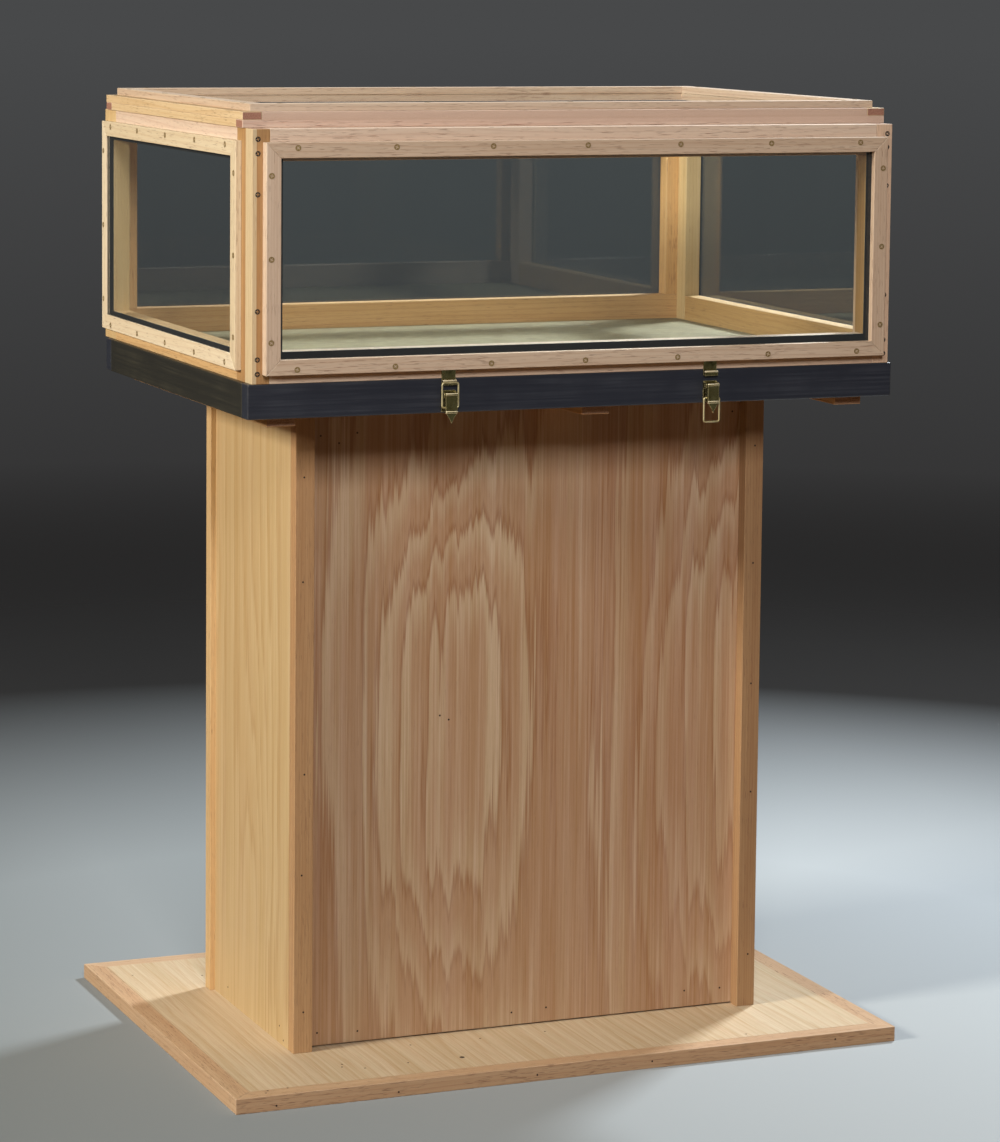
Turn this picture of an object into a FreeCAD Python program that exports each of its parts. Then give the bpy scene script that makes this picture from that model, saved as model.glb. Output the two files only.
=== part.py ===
import FreeCAD, Part
import os
import re
import Sketcher
from types import SimpleNamespace

# Glazed display case that stands on a plywood pedestal, in millimetres.
# X runs to the right, the front with the latches looks along -Y, Z is up.
# The origin is the centre of the base plate's underside.

doc = FreeCAD.newDocument("display_case")
vec = FreeCAD.Vector

driving = [
    # Base plate
    ("base_width", 890.0),
    ("base_depth", 652.0),
    ("base_thickness", 19.0),
    ("base_edging_width", 25.0),
    # Pedestal
    ("pedestal_width", 638.0),
    ("pedestal_depth", 333.0),
    ("pedestal_setback", 154.0),
    ("pedestal_height", 815.0),
    ("panel_thickness", 12.0),
    ("panel_floor_gap", 2.0),
    ("corner_strip_width", 25.0),
    ("corner_strip_thickness", 19.0),
    ("back_strip_overhang", 7.0),
    ("cleat_section", 19.0),
    # Battens under the tray
    ("batten_width", 37.0),
    ("batten_thickness", 12.0),
    ("batten_setback", 22.0),
    ("middle_batten_place", 30.0),
    ("notch_clearance", 0.3),
    # Tray
    ("tray_width", 856.0),
    ("tray_depth", 585.0),
    ("tray_setback", 16.0),
    ("tray_height", 42.0),
    ("tray_wall", 22.0),
    ("tray_floor_thickness", 9.0),
    # Display deck
    ("deck_thickness", 5.0),
    ("deck_clearance", 3.0),
    ("bearer_thickness", 22.0),
    ("bearer_inset", 28.0),
    ("bearer_spacing", 300.0),
    # Hood frame
    ("hood_side_inset", 5.0),
    ("hood_back_overhang", 20.0),
    ("hood_height", 301.0),
    ("post_width", 22.0),
    ("front_post_depth", 56.0),
    ("back_post_depth", 48.0),
    ("rail_thickness", 22.0),
    ("rail_height", 38.0),
    ("jamb_width", 18.0),
    ("ledger_depth", 26.0),
    ("ledger_thickness", 22.0),
    # Cap frame, half lapped at its corners
    ("cap_side_overhang", 3.0),
    ("cap_front_setback", 28.0),
    ("cap_back_setback", 15.0),
    ("cap_thickness", 19.0),
    ("cap_stick_width", 24.0),
    # Glass and its strips
    ("glass_thickness", 4.0),
    ("gasket_thickness", 1.5),
    ("glass_clearance", 0.5),
    # Glazing frames on the four walls and on the cap
    ("front_glazing_inset", 13.0),
    ("front_glazing_rise", 11.0),
    ("front_glazing_drop", 15.5),
    ("front_glazing_stick", 18.5),
    ("front_glazing_thickness", 14.0),
    ("side_glazing_rise", 13.0),
    ("side_glazing_drop", 15.0),
    ("side_glazing_stick", 19.0),
    ("side_glazing_thickness", 8.0),
    ("side_glazing_setback", 39.0),
    ("side_glazing_back_setback", 11.0),
    ("wall_rebate_width", 7.0),
    ("cap_glazing_inset", 12.0),
    ("cap_glazing_setback", 9.0),
    ("cap_glazing_stick", 20.0),
    ("cap_glazing_thickness", 9.5),
    ("cap_rebate_width", 12.0),
    # Countersunk screws
    ("screw_radius", 1.6),
    ("screw_head_radius", 3.7),
    ("screw_head_depth", 2.2),
    ("screw_length", 25.0),
    ("side_screw_length", 20.0),
    ("screw_hole_clearance", 0.05),
    ("screw_end_margin", 39.0),
    ("wall_screw_inset", 6.5),
    ("cap_screw_inset", 4.5),
    ("post_screw_radius", 1.9),
    ("post_screw_head_radius", 3.4),
    ("post_screw_length", 40.0),
    ("post_screw_inset", 7.0),
    # Butt hinges behind the tray
    ("hinge_place", 250.0),
    ("hinge_width", 60.0),
    ("hinge_middle_knuckle", 20.0),
    ("hinge_leaf_thickness", 2.0),
    ("hinge_leaf_height", 26.0),
    ("hinge_leaf_depth", 15.5),
    ("hinge_knuckle_radius", 3.5),
    ("hinge_pin_radius", 1.5),
    ("hinge_clearance", 0.3),
    ("pin_fit", 0.05),
    # Draw latches on the front
    ("latch_place", 174.0),
    ("latch_plate_width", 18.0),
    ("latch_plate_thickness", 1.5),
    ("latch_plate_height", 26.0),
    ("latch_pivot_drop", 20.0),
    ("latch_pivot_reach", 6.5),
    ("latch_pin_radius", 1.3),
    ("latch_ear_radius", 4.0),
    ("latch_ear_thickness", 1.2),
    ("latch_ear_gap", 0.3),
    ("lever_width", 15.0),
    ("lever_wall", 1.5),
    ("lever_flange", 1.2),
    ("lever_reach", 12.5),
    ("lever_top_rise", 2.0),
    ("lever_drop", 21.0),
    ("lever_tip_drop", 34.0),
    ("lever_tip_width", 3.0),
    ("lever_bead", 1.5),
    ("bail_pivot_drop", 15.0),
    ("bail_pivot_offset", 1.0),
    ("bail_wire_radius", 1.1),
    ("bail_leg_place", 10.5),
    ("bail_length", 30.0),
    ("bail_bend_radius", 2.6),
    ("bail_end_overlap", 0.7),
    ("strike_width", 18.0),
    ("strike_rise", 10.0),
    ("strike_drop", 8.0),
    ("strike_thickness", 1.6),
    ("strike_relief", 0.4),
    ("strike_hook_reach", 5.8),
    ("strike_hook_height", 5.0),
]

sheet = doc.addObject("Spreadsheet::Sheet", "Sizes")
for row, (alias, length) in enumerate(driving, start=1):
    sheet.set(f"A{row}", alias)
    sheet.set(f"B{row}", str(length))
    sheet.setAlias(f"B{row}", alias)
doc.recompute()
size = SimpleNamespace(**dict(driving))

# Screws along each horizontal stick, then up each upright one
front_screw_counts = (7, 3)
side_screw_counts = (5, 3)
cap_screw_counts = (5, 4)
# Heights of the post screws, as shares of the hood's height
post_screw_shares = (0.04, 0.097, 0.286, 0.744, 0.904, 0.96)
# Gap from the pedestal's sides to the outer battens, as a share of the tray's overhang
outer_batten_share = 0.378

# Levels and faces that several pieces share, written once in the sheet's names
front_edge = "(0 - base_depth / 2)"
pedestal_front = f"({front_edge} + pedestal_setback)"
pedestal_back = f"({pedestal_front} + pedestal_depth)"
pedestal_top = "(base_thickness + pedestal_height)"
panel_front = f"({pedestal_front} + corner_strip_thickness)"
panel_back = f"({pedestal_back} - corner_strip_thickness)"
tray_front = f"({front_edge} + tray_setback)"
tray_back = f"({tray_front} + tray_depth)"
tray_top = f"({pedestal_top} + tray_height)"
hood_width = "(tray_width - 2 * hood_side_inset)"
hood_back = f"({tray_back} + hood_back_overhang)"
hood_top = f"({tray_top} + hood_height)"
front_post_back = f"({tray_front} + front_post_depth)"
back_post_front = f"({hood_back} - back_post_depth)"
rail_front_inner = f"({tray_front} + rail_thickness)"
rail_back_inner = f"({hood_back} - rail_thickness)"
wall_inner = f"({hood_width} / 2 - post_width)"
jamb_inner = f"({wall_inner} - jamb_width)"
low_rail_top = f"({tray_top} + rail_height)"
high_rail_foot = f"({hood_top} - rail_height)"
cap_width = f"({hood_width} + 2 * cap_side_overhang)"
cap_front = f"({tray_front} + cap_front_setback)"
cap_back = f"({hood_back} - cap_back_setback)"
cap_top = f"({hood_top} + cap_thickness)"
rebate_depth = "(glass_thickness + gasket_thickness)"
hinge_pin_y = f"({tray_back} + hinge_clearance + hinge_knuckle_radius)"
hinge_pin_z = f"({tray_top} - hinge_clearance - hinge_knuckle_radius)"
latch_pin_y = f"({tray_front} - latch_pivot_reach)"
latch_pin_z = f"({tray_top} - latch_pivot_drop)"
bail_pin_y = f"({latch_pin_y} - bail_pivot_offset)"
bail_pin_z = f"({latch_pin_z} - bail_pivot_drop)"

parts = []


def link(words):
    """Turn names of sizes into references to the sheet's cells."""
    return re.sub(r"[a-z][a-z_]*", lambda found: "Sizes." + found.group(0), words)


def value(words):
    """Present value of a length written in the sheet's names."""
    return float(sheet.evalExpression(link(words)))


def bind(item, **properties):
    for name, words in properties.items():
        item.setExpression(name, link(words))


def place(item, x="0", y="0", z="0", rotation=None):
    """Put an object at a bound position, turned by a fixed rotation."""
    if rotation is not None:
        item.Placement = FreeCAD.Placement(vec(0, 0, 0), rotation)
    for axis, words in zip("xyz", (x, y, z)):
        item.setExpression(f"Placement.Base.{axis}", link(words))
    return item


def keep(item, label):
    item.Label = label
    parts.append(item)
    return item


def board(name, x, y, z):
    """Straight board between pairs of bound faces along X, Y and Z."""
    box = doc.addObject("Part::Box", name)
    spans = [f"({high}) - ({low})" for low, high in (x, y, z)]
    bind(box, Length=spans[0], Width=spans[1], Height=spans[2])
    return place(box, x[0], y[0], z[0])


def rod(name, radius, x, y, z):
    """Round bar along X between a pair of bound faces."""
    bar = doc.addObject("Part::Cylinder", name)
    bind(bar, Radius=radius, Height=f"({x[1]}) - ({x[0]})")
    return place(bar, x[0], y, z, FreeCAD.Rotation(vec(0, 1, 0), 90))


def cut(name, base, *tools):
    """Take one or more tools away from a piece."""
    for number, tool in enumerate(tools):
        step = doc.addObject("Part::Cut", f"{name}_cut{number}")
        step.Base = base
        step.Tool = tool
        base = step
    return base


def fuse(name, pieces):
    joined = doc.addObject("Part::MultiFuse", name)
    joined.Shapes = pieces
    return joined


def group(name, pieces):
    """Separate solids that share one node."""
    together = doc.addObject("Part::Compound", name)
    together.Links = pieces
    return together


def both_sides(words):
    return (f"0 - {words}", words)


def profile_body(name, role, corners, start, thickness):
    """Body padded from a closed outline on one of its origin planes."""
    body = doc.addObject("PartDesign::Body", name)
    plane = [item for item in body.Origin.OriginFeatures if item.Role == role][0]
    sketch = body.newObject("Sketcher::SketchObject", f"{name}_outline")
    sketch.AttachmentSupport = [(plane, "")]
    sketch.MapMode = "FlatFace"
    sketch.setExpression("AttachmentOffset.Base.z", link(start))
    points = [vec(value(u), value(v), 0) for u, v in corners]
    count = len(points)
    for number in range(count):
        sketch.addGeometry(Part.LineSegment(points[number], points[(number + 1) % count]), False)
    for number in range(count):
        following = (number + 1) % count
        sketch.addConstraint(Sketcher.Constraint("Coincident", number, 2, following, 1))
    for number, (u, v) in enumerate(corners):
        for kind, words, now in (("DistanceX", u, points[number].x), ("DistanceY", v, points[number].y)):
            index = sketch.addConstraint(Sketcher.Constraint(kind, -1, 1, number, 1, now))
            sketch.setExpression(f"Constraints[{index}]", link(words))
    pad = body.newObject("PartDesign::Pad", f"{name}_pad")
    pad.Profile = sketch
    pad.setExpression("Length", link(thickness))
    return body


def mitred_stick(name, length, span, stick, thickness, rebate=None):
    """Stick with mitred ends on the -Y side of a frame, centred on the frame's middle."""
    wedge = doc.addObject("Part::Wedge", name)
    bind(wedge, Xmin=f"0 - {length} / 2", Xmax=f"{length} / 2",
         X2min=f"{stick} - {length} / 2", X2max=f"{length} / 2 - {stick}",
         Ymin=f"0 - {span} / 2", Ymax=f"{stick} - {span} / 2",
         Zmin="0", Z2min="0", Zmax=thickness, Z2max=thickness)
    if rebate is None:
        return wedge
    inner_edge = f"({stick} - {span} / 2)"
    seat = board(f"{name}_rebate", both_sides(f"{length} / 2"),
                 (f"{inner_edge} - {rebate}", inner_edge), ("0", rebate_depth))
    return cut(name, wedge, seat)


def mitred_frame(name, width, height, stick, thickness, rebate=None, holes=None):
    """Four mitred sticks round a rectangle, lying in XY with their backs at Z zero."""
    sticks = []
    for number in range(4):
        length, span = (width, height) if number % 2 == 0 else (height, width)
        piece = mitred_stick(f"{name}_stick{number}", length, span, stick, thickness, rebate)
        piece.Placement = FreeCAD.Placement(vec(0, 0, 0), FreeCAD.Rotation(vec(0, 0, 1), 90 * number))
        if holes is not None:
            piece = cut(f"{name}_stick{number}_drilled", piece, holes)
        sticks.append(piece)
    return group(name, sticks)


def screw_places(width, height, inset, along, up):
    """Screw centres round a frame that lies in XY, evenly spread between the end margins."""
    margin = size.screw_end_margin
    half_width = width / 2
    half_height = height / 2
    row_step = (width - 2 * margin) / (along - 1)
    column_step = (height - 2 * margin) / (up - 1)
    row = [margin - half_width + number * row_step for number in range(along)]
    column = [margin - half_height + number * column_step for number in range(up)]
    places = [(u, side * (half_height - inset)) for side in (-1, 1) for u in row]
    return places + [(side * (half_width - inset), v) for side in (-1, 1) for v in column]


def screw_shapes(places, face, length, radius, head_radius, clearance):
    """Countersunk screws that enter along -Z from a face, or their holes with a clearance."""
    solids = []
    grown = radius + clearance
    for u, v in places:
        head = Part.makeCone(grown, head_radius + clearance, size.screw_head_depth,
                             vec(u, v, face - size.screw_head_depth))
        shank = Part.makeCylinder(grown, length - size.screw_head_depth + clearance,
                                  vec(u, v, face - length - clearance))
        solids.append(head.fuse(shank).removeSplitter())
    return Part.makeCompound(solids)


def screw_set(name, places, face, length, radius, head_radius):
    """Screws and the tool for their holes, as a pair of features."""
    screws = doc.addObject("Part::Feature", f"{name}_screws")
    screws.Shape = screw_shapes(places, face, length, radius, head_radius, 0)
    holes = doc.addObject("Part::Feature", f"{name}_holes")
    holes.Shape = screw_shapes(places, face, length, radius, head_radius, size.screw_hole_clearance)
    return screws, holes


def glass_board(width, depth, stick, rebate, name, level):
    """Pane that fills the rebates of a frame lying in XY."""
    reach = f"({stick} - {rebate} + glass_clearance)"
    return board(name, both_sides(f"({width} / 2 - {reach})"), both_sides(f"({depth} / 2 - {reach})"), level)


# Base plate with mitred edging

panel_reach_x = "(base_width / 2 - base_edging_width)"
panel_reach_y = "(base_depth / 2 - base_edging_width)"
keep(board("base_board", both_sides(panel_reach_x), both_sides(panel_reach_y),
           ("0", "base_thickness")), "base_panel")
keep(mitred_frame("base_edging", "base_width", "base_depth", "base_edging_width",
                  "base_thickness"), "base_edging")

# Pedestal box, with strips over its corners and cleats inside

outer = "pedestal_width / 2"
inner = "(pedestal_width / 2 - panel_thickness)"
foot = "base_thickness"
middle_batten = ("(middle_batten_place - batten_width / 2)", "(middle_batten_place + batten_width / 2)")
batten_foot = f"({pedestal_top} - batten_thickness)"
notch = board("middle_notch",
              (f"{middle_batten[0]} - notch_clearance", f"{middle_batten[1]} + notch_clearance"),
              (pedestal_front, pedestal_back), (batten_foot, pedestal_top))

front_board = board("front_board", both_sides(inner), (panel_front, f"{panel_front} + panel_thickness"),
                    (f"{foot} + panel_floor_gap", pedestal_top))
keep(cut("front_board", front_board, notch), "pedestal_front_panel")
back_board = board("back_board", both_sides(inner), (f"{panel_back} - panel_thickness", panel_back),
                   (foot, pedestal_top))
keep(cut("back_board", back_board, notch), "pedestal_back_panel")
for side, sign in (("left", "-1"), ("right", "1")):
    faces = (f"{sign} * {outer}", f"{sign} * {inner}")
    near, far = faces if side == "left" else faces[::-1]
    keep(board(f"{side}_board", (near, far), (panel_front, panel_back), (foot, pedestal_top)),
         f"pedestal_{side}_panel")
    for end, reach, low, high in (
            ("front", outer, pedestal_front, panel_front),
            ("back", f"({outer} + back_strip_overhang)", panel_back, pedestal_back)):
        edges = (f"{sign} * {reach}", f"{sign} * ({reach} - corner_strip_width)")
        near, far = edges if side == "left" else edges[::-1]
        keep(board(f"{end}_{side}_strip", (near, far), (low, high), (foot, pedestal_top)),
             f"pedestal_{end}_strip_{side}")

cleat_front = f"({panel_front} + panel_thickness)"
cleat_back = f"({panel_back} - panel_thickness)"
cleats = []
for level, low in (("lower", foot), ("upper", f"({batten_foot} - cleat_section)")):
    heights = (low, f"{low} + cleat_section")
    cleats.append(board(f"{level}_front_cleat", both_sides(inner),
                        (cleat_front, f"{cleat_front} + cleat_section"), heights))
    cleats.append(board(f"{level}_back_cleat", both_sides(inner),
                        (f"{cleat_back} - cleat_section", cleat_back), heights))
    run = (f"{cleat_front} + cleat_section", f"{cleat_back} - cleat_section")
    cleats.append(board(f"{level}_left_cleat", (f"0 - {inner}", f"cleat_section - {inner}"), run, heights))
    cleats.append(board(f"{level}_right_cleat", (f"{inner} - cleat_section", inner), run, heights))
keep(group("cleats", cleats), "pedestal_cleats")

# Battens under the tray

batten_run = (f"{tray_front} + batten_setback", f"{tray_back} - batten_setback")
batten_levels = (batten_foot, pedestal_top)
side_overhang = "((tray_width - pedestal_width) / 2)"
batten_reach = f"({outer} + {outer_batten_share} * {side_overhang} + batten_width / 2)"
for side, centre in (("left", f"(0 - {batten_reach})"), ("middle", "middle_batten_place"),
                     ("right", batten_reach)):
    keep(board(f"{side}_batten", (f"{centre} - batten_width / 2", f"{centre} + batten_width / 2"),
               batten_run, batten_levels), f"batten_{side}")

# Tray

tray_reach = "tray_width / 2"
tray_levels = (pedestal_top, tray_top)
tray_run = (f"{tray_front} + tray_wall", f"{tray_back} - tray_wall")
keep(board("tray_floor", both_sides(f"({tray_reach} - tray_wall)"), tray_run,
           (pedestal_top, f"{pedestal_top} + tray_floor_thickness")), "tray_bottom")
keep(board("tray_front_board", both_sides(tray_reach), (tray_front, tray_run[0]), tray_levels), "tray_front")
keep(board("tray_back_board", both_sides(tray_reach), (tray_run[1], tray_back), tray_levels), "tray_back")
keep(board("tray_left_board", (f"0 - {tray_reach}", f"tray_wall - {tray_reach}"), tray_run,
           tray_levels), "tray_left")
keep(board("tray_right_board", (f"{tray_reach} - tray_wall", tray_reach), tray_run,
           tray_levels), "tray_right")

# Display deck on three bearers that stand in the tray

keep(board("deck", both_sides(f"({wall_inner} - deck_clearance)"),
           (f"{rail_front_inner} + deck_clearance", f"{rail_back_inner} - deck_clearance"),
           (tray_top, f"{tray_top} + deck_thickness")), "display_deck")
bearer_run = (f"{tray_run[0]} + bearer_inset", f"{tray_run[1]} - bearer_inset")
bearers = []
for number, step in enumerate(("-1", "0", "1")):
    centre = f"{step} * bearer_spacing"
    bearers.append(board(f"bearer{number}",
                         (f"{centre} - bearer_thickness / 2", f"{centre} + bearer_thickness / 2"),
                         bearer_run, (f"{pedestal_top} + tray_floor_thickness", tray_top)))
keep(group("bearers", bearers), "deck_bearers")

# Glazing frames: each is made lying in XY and stood against its wall

upright = FreeCAD.Rotation(vec(1, 0, 0), 90)
turns = {"front": upright,
         "back": FreeCAD.Rotation(vec(0, 0, 1), 180).multiply(upright),
         "left": FreeCAD.Rotation(vec(0, 0, 1), -90).multiply(upright),
         "right": FreeCAD.Rotation(vec(0, 0, 1), 90).multiply(upright),
         "cap": FreeCAD.Rotation()}
front_glazing_width = f"({hood_width} - 2 * front_glazing_inset)"
front_glazing_height = "(hood_height - front_glazing_rise - front_glazing_drop)"
side_glazing_width = f"({hood_back} - {tray_front} - side_glazing_setback - side_glazing_back_setback)"
side_glazing_height = "(hood_height - side_glazing_rise - side_glazing_drop)"
cap_glazing_width = f"({cap_width} - 2 * cap_glazing_inset)"
cap_glazing_depth = f"({cap_back} - {cap_front} - 2 * cap_glazing_setback)"
front_level = f"({tray_top} + front_glazing_rise + {front_glazing_height} / 2)"
side_level = f"({tray_top} + side_glazing_rise + {side_glazing_height} / 2)"
side_middle = f"({tray_front} + side_glazing_setback + {side_glazing_width} / 2)"
cap_glazing_middle = f"({cap_front} + cap_glazing_setback + {cap_glazing_depth} / 2)"
spots = {"front": ("0", tray_front, front_level),
         "back": ("0", hood_back, front_level),
         "left": (f"0 - {hood_width} / 2", side_middle, side_level),
         "right": (f"{hood_width} / 2", side_middle, side_level),
         "cap": ("0", cap_glazing_middle, cap_top)}
front_sizes = (front_glazing_width, front_glazing_height, "front_glazing_stick",
               "front_glazing_thickness", "wall_rebate_width")
side_sizes = (side_glazing_width, side_glazing_height, "side_glazing_stick",
              "side_glazing_thickness", "wall_rebate_width")
cap_sizes = (cap_glazing_width, cap_glazing_depth, "cap_glazing_stick",
             "cap_glazing_thickness", "cap_rebate_width")
frame_sizes = {"front": front_sizes, "back": front_sizes, "left": side_sizes,
               "right": side_sizes, "cap": cap_sizes}
screw_rows = {"front": front_screw_counts, "back": front_screw_counts, "left": side_screw_counts,
              "right": side_screw_counts, "cap": cap_screw_counts}
# A wall's pane lies in its glazing frame's rebate; the cap's lies in a recess of the cap frame
seats = {wall: f"(0 - {rebate_depth})" if wall == "cap" else "0" for wall in frame_sizes}
drillings = {}
glazing_screws = []
for wall, (width, height, stick, thickness, rebate) in frame_sizes.items():
    inset = size.cap_screw_inset if wall == "cap" else size.wall_screw_inset
    length = size.screw_length if wall in ("front", "back") else size.side_screw_length
    places = screw_places(value(width), value(height), inset, *screw_rows[wall])
    screws, holes = screw_set(wall, places, value(thickness), length,
                              size.screw_radius, size.screw_head_radius)
    groove = None if wall == "cap" else rebate
    frame = mitred_frame(f"{wall}_glazing", width, height, stick, thickness, groove, holes)
    levels = (f"{seats[wall]} + gasket_thickness", f"{seats[wall]} + {rebate_depth}")
    pane = glass_board(width, height, stick, rebate, f"{wall}_pane", levels)
    keep(place(frame, *spots[wall], turns[wall]), f"glazing_frame_{wall}")
    keep(place(group(f"{wall}_glass", [pane]), *spots[wall], turns[wall]), f"glass_{wall}")
    drillings[wall] = place(group(f"{wall}_drilling", [holes]), *spots[wall], turns[wall])
    glazing_screws.append(place(group(f"{wall}_screw_set", [screws]), *spots[wall], turns[wall]))
keep(group("all_glazing_screws", glazing_screws), "glazing_screws")

# Black strips between the glass and the wood, open as far as the frame behind them


def gasket(wall, opening_u, opening_v):
    """Flat ring from the pane's outline to the edges of the opening behind it."""
    width, height, stick, thickness, rebate = frame_sizes[wall]
    levels = (seats[wall], f"{seats[wall]} + gasket_thickness")
    sheet_ring = glass_board(width, height, stick, rebate, f"{wall}_gasket", levels)
    hole = board(f"{wall}_gasket_hole", opening_u, opening_v, levels)
    ring = group(f"{wall}_gasket_ring", [cut(f"{wall}_gasket", sheet_ring, hole)])
    return place(ring, *spots[wall], turns[wall])


wall_rows = (f"{low_rail_top} - {front_level}", f"{high_rail_foot} - {front_level}")
side_rows = (f"{low_rail_top} - {side_level}", f"{high_rail_foot} - {side_level}")
to_front = f"({side_middle} - {front_post_back})"
to_back = f"({back_post_front} - {side_middle})"
cap_opening_x = both_sides(f"({cap_width} / 2 - cap_stick_width)")
cap_opening_y = (f"{cap_front} + cap_stick_width - {cap_glazing_middle}",
                 f"{cap_back} - cap_stick_width - {cap_glazing_middle}")
rings = [gasket("front", both_sides(jamb_inner), wall_rows),
         gasket("back", both_sides(jamb_inner), wall_rows),
         gasket("left", (f"0 - {to_back}", to_front), side_rows),
         gasket("right", (f"0 - {to_front}", to_back), side_rows),
         gasket("cap", cap_opening_x, cap_opening_y)]
keep(group("gaskets", rings), "glass_gaskets")

# Hood frame: corner posts, rails between them, jambs and cap ledgers

post_screws = []
post_levels = [share * value("hood_height") for share in post_screw_shares]
for end, face, turn in (("front", tray_front, turns["front"]), ("back", hood_back, turns["back"])):
    reach = value(f"{hood_width} / 2 - post_screw_inset")
    places = [(sign * reach, level) for sign in (-1, 1) for level in post_levels]
    screws, holes = screw_set(f"{end}_post", places, 0, size.post_screw_length,
                              size.post_screw_radius, size.post_screw_head_radius)
    post_screws.append(place(group(f"{end}_post_screw_set", [screws]), "0", face, tray_top, turn))
    drillings[f"{end}_post"] = place(group(f"{end}_post_drilling", [holes]), "0", face, tray_top, turn)
keep(group("all_post_screws", post_screws), "frame_screws")

hood_levels = (tray_top, hood_top)
low_rail = (tray_top, low_rail_top)
high_rail = (high_rail_foot, hood_top)
for side, sign in (("left", "-1"), ("right", "1")):
    edges = (f"{sign} * {hood_width} / 2", f"{sign} * {wall_inner}")
    near, far = edges if side == "left" else edges[::-1]
    for end, low, high in (("front", tray_front, front_post_back), ("back", back_post_front, hood_back)):
        post = board(f"{end}_{side}_post", (near, far), (low, high), hood_levels)
        drilled = cut(f"{end}_{side}_post", post, drillings[f"{end}_post"], drillings[end], drillings[side])
        keep(drilled, f"hood_post_{end}_{side}")
    for level, heights in (("bottom", low_rail), ("top", high_rail)):
        rail = board(f"{side}_{level}_rail", (near, far), (front_post_back, back_post_front), heights)
        keep(cut(f"{side}_{level}_rail", rail, drillings[side]), f"hood_{level}_rail_{side}")

jambs = []
for end, low, high in (("front", tray_front, rail_front_inner), ("back", rail_back_inner, hood_back)):
    for level, heights in (("bottom", low_rail), ("top", high_rail)):
        rail = board(f"{end}_{level}_rail", both_sides(wall_inner), (low, high), heights)
        keep(cut(f"{end}_{level}_rail", rail, drillings[end]), f"hood_{level}_rail_{end}")
    for number, edges in enumerate(((f"0 - {wall_inner}", f"0 - {jamb_inner}"), (jamb_inner, wall_inner))):
        jambs.append(board(f"{end}_jamb{number}", edges, (low, high), (low_rail_top, high_rail_foot)))
ledger_levels = (f"{hood_top} - ledger_thickness", hood_top)
ledgers = [board("front_ledger", both_sides(wall_inner),
                 (rail_front_inner, f"{rail_front_inner} + ledger_depth"), ledger_levels),
           board("back_ledger", both_sides(wall_inner),
                 (f"{rail_back_inner} - ledger_depth", rail_back_inner), ledger_levels)]
keep(group("jambs", jambs), "hood_jambs")
keep(group("ledgers", ledgers), "cap_ledgers")

# Cap frame: the front and back sticks run full width below, the side sticks full depth above,
# and a recess round the opening takes the pane

recess_margin = "(cap_glazing_stick - cap_rebate_width)"
recess_depth = f"({cap_glazing_depth} / 2 - {recess_margin})"
recess = board("cap_recess", both_sides(f"({cap_glazing_width} / 2 - {recess_margin})"),
               (f"{cap_glazing_middle} - {recess_depth}", f"{cap_glazing_middle} + {recess_depth}"),
               (f"{cap_top} - {rebate_depth}", cap_top))
cap_reach = f"{cap_width} / 2"
cap_levels = (hood_top, cap_top)
cap_half = f"({hood_top} + cap_thickness / 2)"
cap_sticks = []
for side, low, high in (("front", cap_front, f"{cap_front} + cap_stick_width"),
                        ("back", f"{cap_back} - cap_stick_width", cap_back)):
    stick = board(f"cap_{side}_stick", both_sides(cap_reach), (low, high), cap_levels)
    laps = [board(f"cap_{side}_lap{number}", edges, (low, high), (cap_half, cap_top))
            for number, edges in enumerate(((f"0 - {cap_reach}", f"cap_stick_width - {cap_reach}"),
                                            (f"{cap_reach} - cap_stick_width", cap_reach)))]
    cap_sticks.append(cut(f"cap_{side}_stick", stick, *laps, recess, drillings["cap"]))
for side, near, far in (("left", f"0 - {cap_reach}", f"cap_stick_width - {cap_reach}"),
                        ("right", f"{cap_reach} - cap_stick_width", cap_reach)):
    stick = board(f"cap_{side}_stick", (near, far), (cap_front, cap_back), cap_levels)
    laps = [board(f"cap_{side}_lap{number}", (near, far), run, (hood_top, cap_half))
            for number, run in enumerate(((cap_front, f"{cap_front} + cap_stick_width"),
                                          (f"{cap_back} - cap_stick_width", cap_back)))]
    cap_sticks.append(cut(f"cap_{side}_stick", stick, *laps, recess, drillings["cap"]))
keep(group("cap_sticks", cap_sticks), "cap_frame")

# Butt hinges: one leaf on the tray's back, the other under the hood's overhang


def hinge_leaf(name, plates, knuckle_spans):
    """Plates joined to the knuckles that a leaf carries, bored for the pin."""
    knuckles = [rod(f"{name}_knuckle{number}", "hinge_knuckle_radius", span, hinge_pin_y, hinge_pin_z)
                for number, span in enumerate(knuckle_spans)]
    bore = rod(f"{name}_bore", "hinge_pin_radius", (knuckle_spans[0][0], knuckle_spans[-1][1]),
               hinge_pin_y, hinge_pin_z)
    return cut(name, fuse(f"{name}_blank", plates + knuckles), bore)


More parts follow.
